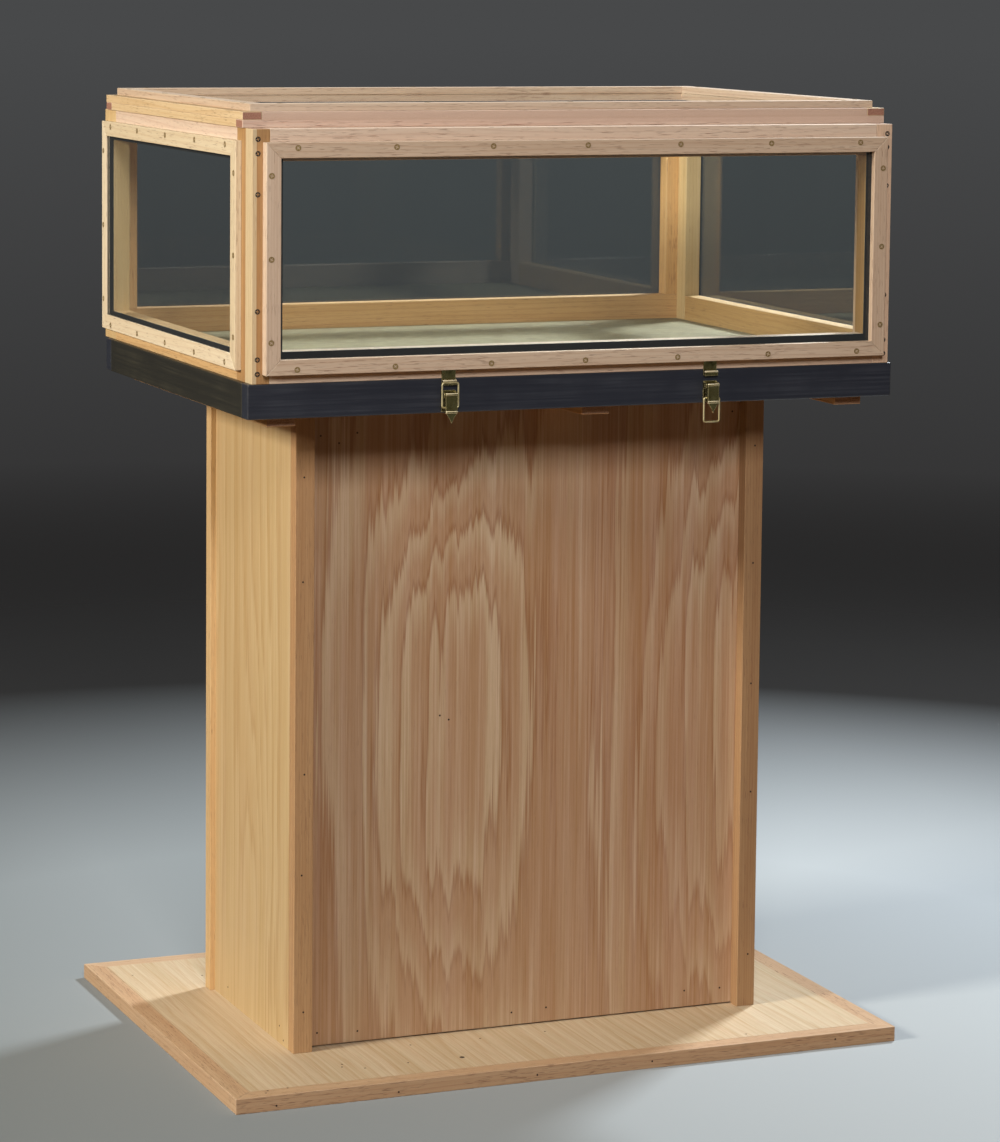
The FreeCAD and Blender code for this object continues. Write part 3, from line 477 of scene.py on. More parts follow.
# Brass that has dulled, darker at the rims and in the recesses of the screw heads, and with a painted
# highlight along its edges, where it turns pale and less metallic
def buildBrass(name, look):
    material, tree, shader = newMaterial(name)
    point, grime = objectPoint(tree), attribute(tree, "grime")
    smudge = smudges(point, look["smudgeSize"])
    # Edges turn pale and less metallic: a painted highlight
    edgeHighlight = wearAndHighlightEdge(point, look["wearAndHighlightWidth"], 0.35)
    colour = mixColour(smudge["Cloud"], look["bright"], look["dull"])
    colour = mixColour(edgeHighlight, mixColour(grime, colour, look["dirt"]), look["edge"])
    feed(shader, {"Base Color": colour, "Normal": bump(smudge["Speckle"], speckleBump),
                  "Roughness": remap(smudge["Cloud"], 0, 1, look["roughness"], look["roughness"] + 0.2),
                  "Metallic": (1.0 - maths("MAXIMUM", grime * 0.8, edgeHighlight * 0.7)) * look["metal"]})
    return material


def buildDarkSteel(name, look):
    material, tree, shader = newMaterial(name)
    smudge = smudges(objectPoint(tree), look["smudgeSize"])
    grime = attribute(tree, "grime")
    colour = mixColour(smudge["Cloud"], look["bright"], look["dull"])
    feed(shader, {"Base Color": mixColour(grime, colour, look["dirt"]),
                  "Roughness": remap(smudge["Cloud"], 0, 1, 0.35, 0.6),
                  "Metallic": remap(grime, 0, 1, 0.9, 0.1), "Normal": bump(smudge["Speckle"], speckleBump)})
    return material


glassLook = {"tint": (243, 250, 250), "wiped": (234, 242, 242), "shadowTint": (253, 254, 254),
             "bending": 1.5, "haze": 0.012}


# Float glass with faint wipe marks; light for the inside passes straight through
def buildGlass(name, look):
    material, tree, shader = newMaterial(name)
    output = shader.outputs[0].links[0].to_node
    wipes = remap(noise(objectPoint(tree), (9, 9, 3), 4, 0.6), 0.5, 0.75)
    feed(shader, {"Transmission Weight": 1.0, "IOR": look["bending"], "Roughness": wipes * look["haze"],
                  "Base Color": mixColour(wipes * 0.3, look["tint"], look["wiped"])})
    clear = fromNode(tree, "ShaderNodeBsdfTransparent", {"Color": tone(look["shadowTint"])})
    passing = isRay(tree, "Shadow", "Diffuse")
    mixed = fromNode(tree, "ShaderNodeMixShader", {0: passing, 1: Signal(shader.outputs[0]), 2: clear})
    feed(output, {"Surface": mixed})
    return material


foamLook = {"dark": (20, 21, 22), "pale": (36, 37, 38), "bump": 0.1 * mm}
deckLook = {"base": (139, 127, 94), "cloud": (157, 150, 120), "deep": (120, 106, 76), "smudgeSize": 50 * mm,
            "bump": 0.8 * mm}
fillerLook = {"dark": (42, 28, 20), "pale": (74, 50, 34), "roughness": 0.8}


# Matt black foam strip
def buildStrip(name, look):
    material, tree, shader = newMaterial(name)
    grain = noise(objectPoint(tree), (900, 900, 900), 2)
    feed(shader, {"Base Color": mixColour(grain, look["dark"], look["pale"]),
                  "Roughness": remap(grain, 0, 1, 0.75, 0.95), "Normal": bump(grain, look["bump"])})
    return material


# Dabbed pale grey green paint
def buildDeckPaint(name, look):
    material, tree, shader = newMaterial(name)
    point = objectPoint(tree)
    dabs = noise(point, (42, 70, 42), 5, 0.65)
    colour = mixColour(smudges(point, look["smudgeSize"])["Cloud"], look["base"], look["deep"])
    feed(shader, {"Base Color": mixColour(remap(dabs, 0.44, 0.74), colour, look["cloud"]),
                  "Roughness": remap(dabs, 0.3, 0.7, 0.6, 0.85), "Normal": bump(dabs, look["bump"])})
    return material


# Dark filler over a sunk nail head
def buildNailMark(name, look):
    material, tree, shader = newMaterial(name)
    mark = noise(objectPoint(tree), (700, 700, 700), 2)
    feed(shader, {"Base Color": mixColour(mark, look["dark"], look["pale"]), "Roughness": look["roughness"]})
    return material


softwoodLook = dict(oakLook, pale=(212, 176, 132), deep=(188, 144, 98), ring=(168, 118, 74),
                    edge=(216, 182, 140), poreAmount=0.1, ringSpacing=6 * mm, roughness=0.7)
capLook = dict(oakLook, pale=(216, 194, 176), deep=(197, 165, 146), ring=(176, 130, 110), pore=(116, 70, 54),
               endGrain=(142, 98, 80), endPale=(170, 126, 106), poreAmount=1.0)
# The cap's side sticks get a yellower copy: partly their own tone, partly painted warm light of the left side
capSideLook = dict(capLook, pale=(216, 192, 152), deep=(198, 166, 120), ring=(180, 142, 94),
                   pore=(126, 88, 50))
# The side glazing frames get a paler, yellower copy: partly their own tone, partly painted warm light of the
# left side
sideFrameLook = dict(oakLook, pale=(223, 209, 182), deep=(209, 189, 157), ring=(192, 163, 130))
# The front left post is painted orange-brown as shade beside the glazing frame; only its outer front corner
# keeps the plain pale oak
postLook = dict(oakLook, pale=(176, 138, 90), deep=(160, 119, 74), ring=(143, 99, 58), pore=(118, 78, 46),
                edge=(206, 174, 126), poreAmount=0.4, unshadedCorner={"x": 0.4175, "y": -0.286, "blend": 0.3 * mm},
                sap={"pale": (208, 189, 153), "deep": (196, 173, 136), "ring": (178, 148, 108)})
backPostLook = dict(oakLook, pale=(218, 192, 148), deep=(206, 174, 126), ring=(188, 152, 104),
                    pore=(132, 96, 60), poreAmount=0.4)
rightPostLook = dict(oakLook, pale=(220, 190, 162), deep=(206, 174, 146), ring=(188, 154, 126),
                     pore=(136, 96, 74))
railLook = dict(oakLook, pale=(217, 197, 176), deep=(203, 176, 154), ring=(184, 148, 126))
insideLook = dict(oakLook, pale=(224, 182, 128), deep=(207, 160, 104), ring=(186, 134, 82),
                  pore=(130, 84, 48))
# A darker copy of the inside oak for the front jambs: painted shade
shadedFrontJambLook = dict(insideLook, pale=(158, 122, 76), deep=(140, 104, 60), ring=(120, 86, 48))
insideSideLook = dict(insideLook, pale=(210, 172, 118), deep=(192, 150, 94), ring=(172, 126, 74))
stripLook = dict(oakLook, pale=(190, 154, 113), deep=(170, 129, 89), ring=(150, 105, 70),
                 edge=(218, 186, 140), poreAmount=0.6)
# A darker copy of the strip oak for the right front strip: painted shade
shadedRightStripLook = dict(stripLook, pale=(174, 139, 101), deep=(154, 115, 79), ring=(136, 93, 61))
backStripLook = dict(stripLook, pale=(222, 192, 146), deep=(206, 170, 124), ring=(186, 144, 100))
edgingLook = dict(oakLook, pale=(206, 176, 142), deep=(186, 150, 116), ring=(166, 122, 92), poreAmount=1.0)


def alongAxes(build, name, **looks):
    return {axis: build(f"{name}Along{axis.upper()}", axis, look) for axis, look in looks.items()}


oak = alongAxes(buildOak, "oak", x=oakLook, y=oakLook, z=oakLook)
postOak = alongAxes(buildOak, "postOak", z=postLook)
backPostOak = alongAxes(buildOak, "backPostOak", z=backPostLook)
rightPostOak = alongAxes(buildOak, "rightPostOak", z=rightPostLook)
shadedFrontJambOak = buildOak("shadedFrontJambOak", "z", shadedFrontJambLook)
railOak = alongAxes(buildOak, "railOak", x=railLook, y=railLook)
stripOak = alongAxes(buildOak, "stripOak", z=stripLook)
shadedRightStripOak = alongAxes(buildOak, "shadedRightStripOak", z=shadedRightStripLook)
backStripOak = alongAxes(buildOak, "backStripOak", z=backStripLook)
insideOak = alongAxes(buildOak, "insideOak", x=insideLook, y=insideSideLook, z=insideLook)
edgingOak = alongAxes(buildOak, "edgingOak", x=edgingLook, y=edgingLook)
capOak = alongAxes(buildOak, "capOak", x=capLook, y=capSideLook)
sideFrameOak = alongAxes(buildOak, "sideFrameOak", y=sideFrameLook, z=sideFrameLook)
softwood = alongAxes(buildOak, "softwood", x=softwoodLook, y=softwoodLook)
blackPaint = alongAxes(buildBlackPaint, "blackPaint", x=blackPaintLook, y=sidePaintLook)
frontVeneer = buildVeneer("frontVeneer", "z", frontPanelLook)
basePlateVeneer = buildVeneer("baseVeneer", "y", basePanelLook)
sideVeneer = buildVeneer("sideVeneer", "side", sidePanelLook)
brass = buildBrass("agedBrass", brassLook)
paintedHighlightBrass = buildBrass("paintedHighlightBrass", paintedHighlightLook)
bailBrass = buildBrass("bailBrass", bailLook)
screwBrass = buildBrass("screwBrass", screwLook)
darkSteel = buildDarkSteel("darkSteel", steelLook)
glass = buildGlass("floatGlass", glassLook)
strip = buildStrip("foamStrip", foamLook)
deckPaint = buildDeckPaint("deckPaint", deckLook)
nailMark = buildNailMark("nailMark", fillerLook)
print("materials built:", len(bpy.data.materials))


# Pieces made in mesh code, each with rounded edges

bevels = {"oak": 0.7 * mm, "black_paint": 1.3 * mm, "softwood": 1.0 * mm}
stickNumbers = random.Random(11)


def startPiece():
    piece = bmesh.new()
    piece.verts.layers.float.new("stick")
    return piece


def meshFrom(piece, name):
    mesh = bpy.data.meshes.new(name)
    piece.to_mesh(mesh)
    piece.free()
    return mesh


def addTo(target, part):
    mesh = meshFrom(part, "part")
    target.from_mesh(mesh)
    bpy.data.meshes.remove(mesh)


def roundEdges(shape, edges, width):
    bmesh.ops.bevel(shape, geom=edges, offset=width, segments=2, profile=0.5, affect="EDGES")


def boxBetween(low, high):
    shape = bmesh.new()
    bmesh.ops.create_cube(shape, size=1)
    for vert in shape.verts:
        vert.co = (low + high) / 2 + Vector(a * b for a, b in zip(vert.co, high - low))
    return shape


# Round a stick's edges, give it its own number and add it to a piece
def finishStick(target, stick, slot, bevel=bevels["oak"]):
    bmesh.ops.recalc_face_normals(stick, faces=stick.faces)
    roundEdges(stick, list(stick.edges), bevel)
    layer = stick.verts.layers.float.new("stick")
    number = stickNumbers.random()
    for vert in stick.verts:
        vert[layer] = number
    for face in stick.faces:
        face.material_index = slot
    addTo(target, stick)


def addBoard(piece, low, high, slot=0, bevel=bevels["oak"]):
    finishStick(piece, boxBetween(Vector(low), Vector(high)), slot, bevel)


# Stick whose ends are cut at 45 degrees; section is a list of (inward, outward) points, and place turns
# (along, inward, outward) into the frame
def addMitredStick(piece, length, offset, section, place, slot):
    stick = bmesh.new()
    ends = []
    for sign in (-1, 1):
        ends.append([stick.verts.new(place(sign * (length / 2 - inward), offset + inward, outward))
                     for inward, outward in section])
    stick.faces.new(ends[0])
    stick.faces.new(list(reversed(ends[1])))
    count = len(section)
    for number in range(count):
        following = (number + 1) % count
        stick.faces.new((ends[0][number], ends[0][following], ends[1][following], ends[1][number]))
    finishStick(piece, stick, slot)


def placeItem(name, mesh, body, nodes):
    item = bpy.data.objects.new(name, mesh)
    scene.collection.objects.link(item)
    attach(item, body)
    if nodes:
        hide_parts(*nodes)


def finishPiece(piece, name, body, slotName, materials, *nodes):
    mesh = meshFrom(piece, name)
    for material in materials:
        mesh.materials.append(material)
    placeItem(name, mesh, body, nodes)


# Four mitred sticks round a rectangle from its corner; axes are its width, height and outward ways
def addFrameSticks(piece, width, height, section, corner, axes):
    across, up, out = (Vector(axis) for axis in axes)
    centre = Vector(corner) + across * width / 2 + up * height / 2
    for number in range(4):
        turned = number % 2 == 1
        length, span = (height, width) if turned else (width, height)
        along = (across, up, -across, -up)[number]
        inward = (up, -across, -up, across)[number]

        def place(u, v, w, along=along, inward=inward):
            return centre + along * u + inward * v + out * w
        addMitredStick(piece, length, -span / 2, section, place, int(turned))


def edgeBox(node):
    low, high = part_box(node)
    return low, high, high - low


# Base plate

baseEdging = {"width": 25 * mm}


def buildBaseEdging():
    low, _, span = edgeBox("base_edging")
    section = [(0, 0), (0, span.z), (baseEdging["width"], span.z), (baseEdging["width"], 0)]
    piece = startPiece()
    axes = ((1, 0, 0), (0, 1, 0), (0, 0, 1))
    addFrameSticks(piece, span.x, span.y, section, low, axes)
    finishPiece(piece, "baseEdging", "stand", "oak", [edgingOak["x"], edgingOak["y"]], "base_edging")


# Straight pieces that follow a node's own box, each with its wood

straightPieces = {
    "oak": {
        "pedestal_front_strip_left": stripOak["z"], "pedestal_front_strip_right": shadedRightStripOak["z"],
        "pedestal_back_strip_left": backStripOak["z"], "pedestal_back_strip_right": backStripOak["z"],
        "hood_post_front_left": postOak["z"], "hood_post_front_right": rightPostOak["z"],
        "hood_post_back_left": backPostOak["z"], "hood_post_back_right": backPostOak["z"],
        "hood_bottom_rail_front": railOak["x"], "hood_top_rail_front": railOak["x"],
        "hood_bottom_rail_back": insideOak["x"], "hood_top_rail_back": railOak["x"],
        "hood_bottom_rail_left": insideOak["y"], "hood_top_rail_left": railOak["y"],
        "hood_bottom_rail_right": insideOak["y"], "hood_top_rail_right": railOak["y"],
    },
    "softwood": {f"batten_{place}": softwood["y"] for place in ("left", "middle", "right")},
    "black_paint": {"tray_front": blackPaint["x"], "tray_back": blackPaint["x"],
                    "tray_left": blackPaint["y"], "tray_right": blackPaint["y"]},
}


def pieceName(node):
    words = node.split("_")
    return words[0] + "".join(word.capitalize() for word in words[1:])


def buildStraightPieces():
    for slotName, pieces in straightPieces.items():
        for node, material in pieces.items():
            low, high, _ = edgeBox(node)
            piece = startPiece()
            addBoard(piece, low, high, bevel=bevels[slotName])
            body = "hood" if node.startswith("hood") else "stand"
            finishPiece(piece, pieceName(node), body, slotName, [material], node)


# Hood: jambs, ledgers, glazing and the half lapped cap frame

upwardAxes = {"front": ((1, 0, 0), (0, 0, 1), (0, -1, 0)), "back": ((-1, 0, 0), (0, 0, 1), (0, 1, 0)),
              "left": ((0, -1, 0), (0, 0, 1), (-1, 0, 0)), "right": ((0, 1, 0), (0, 0, 1), (1, 0, 0))}
endFrame = {"stick": 18.5 * mm, "rebate": 7 * mm, "screws": (7, 3), "woods": [oak["x"], oak["z"]]}
sideFrame = {"stick": 19 * mm, "rebate": 7 * mm, "screws": (5, 3),
             "woods": [sideFrameOak["y"], sideFrameOak["z"]]}
walls = {wall: dict(endFrame if wall in ("front", "back") else sideFrame, axes=axes)
         for wall, axes in upwardAxes.items()}
walls["cap"] = {"axes": ((1, 0, 0), (0, 1, 0), (0, 0, 1)), "stick": 20 * mm, "rebate": 0, "screws": (5, 4),
                "woods": [oak["x"], oak["y"]]}
glazing = {"rebateDepth": 5.5 * mm, "capSink": 0.25 * mm, "endMargin": 39 * mm, "screwInset": 6.5 * mm,
           "capScrewInset": 4.5 * mm}
capFrame = {"stickWidth": 24 * mm, "lapGap": 0.15 * mm, "recessPlay": 0.5 * mm}
jamb = {"width": 18 * mm, "frontTrim": 2.8 * mm}
ledgers = {"depth": 26 * mm}


def buildJambs():
    low, high, _ = edgeBox("hood_jambs")
    railThickness = edgeBox("hood_bottom_rail_front")[2].y
    piece = startPiece()
    for slot, front, back, trim in ((0, low.y, low.y + railThickness, jamb["frontTrim"]),
                                    (1, high.y - railThickness, high.y, 0)):
        width = jamb["width"] - trim
        for left, right in ((low.x, low.x + width), (high.x - width, high.x)):
            addBoard(piece, (left, front, low.z), (right, back, high.z), slot)
    finishPiece(piece, "hoodJambs", "hood", "oak", [shadedFrontJambOak, insideOak["z"]], "hood_jambs")


def buildLedgers():
    low, high, _ = edgeBox("cap_ledgers")
    piece = startPiece()
    addBoard(piece, low, (high.x, low.y + ledgers["depth"], high.z))
    addBoard(piece, (low.x, high.y - ledgers["depth"], low.z), high)
    finishPiece(piece, "capLedgers", "hood", "oak", [railOak["x"]], "cap_ledgers")


# Corners of the pane's recess, from under its strip to above the cap frame
def recess(play):
    low, high, _ = edgeBox("glass_cap")
    low.z = high.z - glazing["rebateDepth"]
    return low - Vector((play, play, 0)), high + Vector((play, play, glazing["rebateDepth"]))


# Take a box out of a mesh and give back the rest
def carve(solid, corners):
    holder = bpy.data.objects.new("carved", solid)
    tool = bpy.data.objects.new("tool", meshFrom(boxBetween(*corners), "tool"))
    for item in (holder, tool):
        scene.collection.objects.link(item)
    cutting = holder.modifiers.new("recess", "BOOLEAN")
    cutting.object = tool
    cutting.solver = "EXACT"
    cutting.use_self = True
    graph = bpy.context.evaluated_depsgraph_get()
    piece = bmesh.new()
    piece.from_mesh(holder.evaluated_get(graph).to_mesh())
    for item in (holder, tool):
        bpy.data.objects.remove(item)
    return piece


# The front and back sticks keep their lower half at the corners, the side sticks their upper half
def buildCapFrame():
    low, high, _ = edgeBox("cap_frame")
    width = capFrame["stickWidth"]
    gap = capFrame["lapGap"]
    middle = (low.z + high.z) / 2
    piece = startPiece()
    for front in (low.y, high.y - width):
        back = front + width
        addBoard(piece, (low.x, front, low.z), (high.x, back, middle))
        addBoard(piece, (low.x + width + gap, front, middle - 2 * bevels["oak"]),
                 (high.x - width - gap, back, high.z))
    for left in (low.x, high.x - width):
        right = left + width
        addBoard(piece, (left, low.y, middle), (right, high.y, high.z), 1)
        addBoard(piece, (left, low.y + width + gap, low.z),
                 (right, high.y - width - gap, middle), 1)
    carved = carve(meshFrom(piece, "capSticks"), recess(capFrame["recessPlay"]))
    finishPiece(carved, "capFrame", "hood", "oak", [capOak["x"], capOak["y"]], "cap_frame")


# Glazing frames with the rebate that holds the glass

# Starting corner, width, height and thickness of a wall's glazing frame
def wallFrame(wall):
    low, high, span = edgeBox(f"glazing_frame_{wall}")
    across, up, out = (Vector(axis) for axis in walls[wall]["axes"])
    corner = Vector()
    for axis in (across, up, out):
        for number in range(3):
            if axis[number]:
                corner[number] = low[number] if axis[number] > 0 else high[number]
    width, height, thickness = (abs(span.dot(axis)) for axis in (across, up, out))
    return corner, width, height, thickness


def buildGlazingFrames():
    for wall, data in walls.items():
        corner, width, height, thickness = wallFrame(wall)
        if wall == "cap":
            thickness -= glazing["capSink"]
        stick = data["stick"]
        inner = stick - data["rebate"]
        section = [(0, 0), (0, thickness), (stick, thickness), (stick, 0)]
        if data["rebate"]:
            section[3:] = [(stick, glazing["rebateDepth"]), (inner, glazing["rebateDepth"]), (inner, 0)]
        piece = startPiece()
        addFrameSticks(piece, width, height, section, corner, data["axes"])
        finishPiece(piece, f"glazingFrame{wall.capitalize()}", "hood", "oak", data["woods"],
                    f"glazing_frame_{wall}")


# Screws and nail marks, spread by geometry nodes over points that carry the way they face

glazingScrew = {"Head Radius": 3.6 * mm, "Shank Radius": 1.6 * mm, "Head Depth": 2.2 * mm,
                "Recess Length": 4.4 * mm, "Recess Width": 0.9 * mm, "Recess Depth": 1.0 * mm,
                "Proud": 0.2 * mm, "Seed": 4}
postScrew = dict(glazingScrew, **{"Head Radius": 3.2 * mm, "Shank Radius": 1.9 * mm, "Seed": 9})
screwSides = 20
plugSides = 10
postScrewRows = {"inset": 7 * mm, "heightShares": (0.04, 0.097, 0.286, 0.744, 0.904, 0.96)}


# Put a shape on every point, turned to the point's facing and spun by a seeded angle
def facedInstances(tree, given, shape):
    facing = fromNode(tree, "GeometryNodeInputNamedAttribute", {"Name": "facing"}, "Attribute",
                      data_type="FLOAT_VECTOR")
    turned = fromNode(tree, "FunctionNodeAlignRotationToVector", {"Vector": facing}, axis="Z")
    angle = fromNode(tree, "FunctionNodeRandomValue", {"Seed": given["Seed"], 3: math.tau}, 1,
                     data_type="FLOAT")
    spin = fromNode(tree, "FunctionNodeAxisAngleToRotation", {"Axis": (0, 0, 1), "Angle": angle})
    spun = fromNode(tree, "FunctionNodeRotateRotation", {"Rotation": turned, "Rotate By": spin},
                    rotation_space="LOCAL")
    placed = fromNode(tree, "GeometryNodeInstanceOnPoints",
                      {"Points": given["Geometry"], "Instance": shape, "Rotation": spun})
    real = fromNode(tree, "GeometryNodeRealizeInstances", {"Geometry": placed})
    return fromNode(tree, "GeometryNodeSetMaterial", {"Geometry": real, "Material": given["Material"]})


def newSpread(name, sizes):
    inputs = {"Geometry": ["Geometry"], "Float": sizes, "Int": ["Seed"], "Material": ["Material"]}
    return newTree(name, "GeometryNodeTree", inputs, {"Geometry": ["Geometry"]})


def lifted(tree, shape, height):
    return fromNode(tree, "GeometryNodeTransform", {"Geometry": shape, "Translation": join(z=height)})


# Countersunk head with a cross recess, darker at its rim and in the recess
def buildScrewTree():
    tree, given, out = newSpread("countersunkScrews", [label for label in glazingScrew if label != "Seed"])
    cone = fromNode(tree, "GeometryNodeMeshCone",
                    {"Vertices": screwSides, "Radius Top": given["Head Radius"],
                     "Radius Bottom": given["Shank Radius"], "Depth": given["Head Depth"]}, "Mesh")
    head = lifted(tree, cone, given["Proud"] - given["Head Depth"])
    carved = addNode(tree, "GeometryNodeMeshBoolean", {"Mesh 1": head},
                     operation="DIFFERENCE", solver="EXACT")
    for length, width in (("Recess Length", "Recess Width"), ("Recess Width", "Recess Length")):
        size = join(given[length], given[width], given["Recess Depth"] * 2.0)
        bar = fromNode(tree, "GeometryNodeMeshCube", {"Size": size}, "Mesh")
        feed(carved, {"Mesh 2": lifted(tree, bar, given["Proud"])})
    x, y, z = split(fromNode(tree, "GeometryNodeInputPosition"))
    rim = vectorMaths("LENGTH", join(x, y)) / given["Head Radius"]
    rim = maths("MULTIPLY", rim - 0.82, 3.0, clamp=True)
    grime = maths("MAXIMUM", rim, (given["Proud"] - z) / given["Recess Depth"], clamp=True)
    marked = fromNode(tree, "GeometryNodeStoreNamedAttribute",
                      {"Geometry": Signal(carved.outputs[0]), "Name": "grime", "Value": grime},
                      data_type="FLOAT", domain="POINT")
    feed(out, {"Geometry": facedInstances(tree, given, marked)})
    return tree


# Small plugs sunk in a face
def buildMarkTree():
    tree, given, out = newSpread("nailMarks", ["Radius", "Depth"])
    plug = fromNode(tree, "GeometryNodeMeshCylinder",
                    {"Vertices": plugSides, "Radius": given["Radius"], "Depth": given["Depth"]}, "Mesh")
    feed(out, {"Geometry": facedInstances(tree, given, plug)})
    return tree


# Run a tree over (point, facing) pairs and keep the result as a plain mesh
def spreadOver(name, places, tree, values, body, slotName, *nodes):
    points = bpy.data.meshes.new(f"{name}Points")
    points.from_pydata([place for place, _ in places], [], [])
    facing = points.attributes.new("facing", "FLOAT_VECTOR", "POINT")
    facing.data.foreach_set("vector", [number for _, way in places for number in way])
    holder = bpy.data.objects.new(f"{name}Points", points)
    scene.collection.objects.link(holder)
    modifier = holder.modifiers.new("spread", "NODES")
    modifier.node_group = tree
    for socket in tree.interface.items_tree:
        if socket.in_out == "INPUT" and socket.name in values:
            modifier[socket.identifier] = values[socket.name]
    graph = bpy.context.evaluated_depsgraph_get()
    mesh = bpy.data.meshes.new_from_object(holder.evaluated_get(graph), depsgraph=graph)
    mesh.name = name
    bpy.data.objects.remove(holder)
    placeItem(name, mesh, body, nodes)


def glazingScrewPlaces():
    places = []
    for wall, data in walls.items():
        corner, width, height, thickness = wallFrame(wall)
        across, up, out = (Vector(axis) for axis in data["axes"])
        inset = glazing["capScrewInset"] if wall == "cap" else glazing["screwInset"]
        face = thickness - (glazing["capSink"] if wall == "cap" else 0)
        margin = glazing["endMargin"]
        along, upward = ([margin + number * (length - 2 * margin) / (count - 1) for number in range(count)]
                         for count, length in zip(data["screws"], (width, height)))
        spots = [(u, v) for u in along for v in (inset, height - inset)]
        spots += [(u, v) for v in upward for u in (inset, width - inset)]
        places += [(corner + across * u + up * v + out * face, out) for u, v in spots]
    return places


def postScrewPlaces():
    places = []
    for end, out in (("front", (0, -1, 0)), ("back", (0, 1, 0))):
        for side in ("left", "right"):
            low, high, span = edgeBox(f"hood_post_{end}_{side}")
            x = low.x + postScrewRows["inset"] if side == "left" else high.x - postScrewRows["inset"]
            y = low.y if end == "front" else high.y
            places += [(Vector((x, y, low.z + share * span.z)), out)
                       for share in postScrewRows["heightShares"]]
    return places


# Each face has its node, the axis and the side that it looks to, and places in millimetres on the other axes
nailMarks = {
    "radius": 1.3 * mm, "depth": 0.8 * mm, "proud": 0.08 * mm, "pilotRadius": 3.3 * mm, "seed": 3,
    "faces": (
        ("pedestal_front_panel", 1, -1, (
            (-280, 791), (-256, 781), (-232, 793), (-119, 430), (-107, 424), (-281, 37), (-227, 34),
            (-17, 37), (31, 39), (227, 42), (278, 41), (283, 801))),
        ("pedestal_front_strip_left", 1, -1, (
            (-308, 743), (-309, 613), (-306, 372), (-309, 245), (-306, 71), (307, 605), (307, 447),
            (307, 758), (309, 304), (309, 88))),
        ("pedestal_left_panel", 0, -1, ((87, 37), (-134, 26), (-119, 41))),
        ("base_panel", 2, 1, (
            (-403, -313), (-372, -303), (-281, -245), (-256, -259), (-168, -186), (-198, -256),
            (14, -190), (-75, -190), (-313, 215), (250, -290), (-277, -234), (-398, -305), (-400, 248))),
        ("base_edging", 1, -1, ((-394, 6), (-54, 8), (-237, 6), (102, 9), (359, 11))),
    ),
    "pilotHole": ("base_panel", 2, 1, ((-127, -258),)),
}


def nailMarkPlaces(node, axis, side, spots):
    level = edgeBox(node)[0 if side < 0 else 1][axis] - side * (nailMarks["depth"] / 2 - nailMarks["proud"])
    facing = [side if number == axis else 0 for number in range(3)]
    places = []
    for spot in spots:
        place = [number * mm for number in spot]
        place.insert(axis, level)
        places.append((place, facing))
    return places


def buildFasteners():
    screwTree = buildScrewTree()
    spreadOver("glazingScrews", glazingScrewPlaces(), screwTree, dict(glazingScrew, Material=screwBrass),
               "hood", "brass", "glazing_screws")
    spreadOver("frameScrews", postScrewPlaces(), screwTree, dict(postScrew, Material=darkSteel),
               "hood", "dark_steel", "frame_screws")
    markTree = buildMarkTree()
    values = {"Radius": nailMarks["radius"], "Depth": nailMarks["depth"], "Seed": nailMarks["seed"],
              "Material": nailMark}
    marks = [place for face in nailMarks["faces"] for place in nailMarkPlaces(*face)]
    spreadOver("nailMarks", marks, markTree, values, "stand", "oak")
    values["Radius"] = nailMarks["pilotRadius"]
    spreadOver("pilotHole", nailMarkPlaces(*nailMarks["pilotHole"]), markTree, values, "stand", "oak")


# Black strips behind the glass, set back a little from the openings of the front and back

gaskets = {"sideInset": 386 * mm, "headHeight": 1142.4 * mm, "merge": 0.01 * mm, "wallReach": 4 * mm,
           "edgeReach": 1 * mm}


def buildGaskets():
    low, high, _ = edgeBox("glass_gaskets")
    sideRail = edgeBox("hood_jambs")[0].x + jamb["width"]
    headRail = edgeBox("hood_top_rail_front")[0].z
    piece = bmesh.new()
    piece.from_mesh(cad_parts["glass_gaskets"].data)
    bmesh.ops.remove_doubles(piece, verts=piece.verts, dist=gaskets["merge"])
    for vert in piece.verts:
        upright = min(abs(vert.co.y - low.y), abs(vert.co.y - high.y)) < gaskets["wallReach"]
        if upright and abs(abs(vert.co.x) - abs(sideRail)) < gaskets["edgeReach"]:
            vert.co.x = math.copysign(gaskets["sideInset"], vert.co.x)
        if upright and abs(vert.co.z - headRail) < gaskets["edgeReach"]:
            vert.co.z = gaskets["headHeight"]
    finishPiece(piece, "glassGaskets", "hood", "black_strip", [strip], "glass_gaskets")


# Nodes that keep their own shape and get a finish

nodeFinishes = {
    "base_panel": basePlateVeneer, "pedestal_front_panel": frontVeneer, "pedestal_back_panel": frontVeneer,
    "pedestal_left_panel": sideVeneer, "pedestal_right_panel": sideVeneer,
    "pedestal_cleats": softwood["x"], "deck_bearers": softwood["y"],
    "tray_bottom": blackPaint["x"], "display_deck": deckPaint,
    **{f"glass_{wall}": glass for wall in walls},
    "hinge_tray_leaves": brass, "hinge_hood_leaves": brass, "latch_and_hinge_pins": brass,
    "left_latch_bail": bailBrass, "right_latch_bail": bailBrass,
}
latchPlates = [f"{side}_latch_{part}" for side in ("left", "right") for part in ("plate", "lever", "strike")]
nodeFinishes.update((node, brass) for node in latchPlates)
plateRounding = {"width": 0.25 * mm, "weld": 0.005 * mm, "angleDegrees": 40}
latchBeads = {
    "lever": {"radius": 1.5 * mm, "reach": 1.5 * mm, "topDrop": 1.45 * mm, "footRise": 13.75 * mm},
    "strike": {"radius": 1.2 * mm, "reach": 0.6 * mm, "lipRise": 5.2 * mm},
    "segments": 20, "endRounding": 0.35 * mm,
}


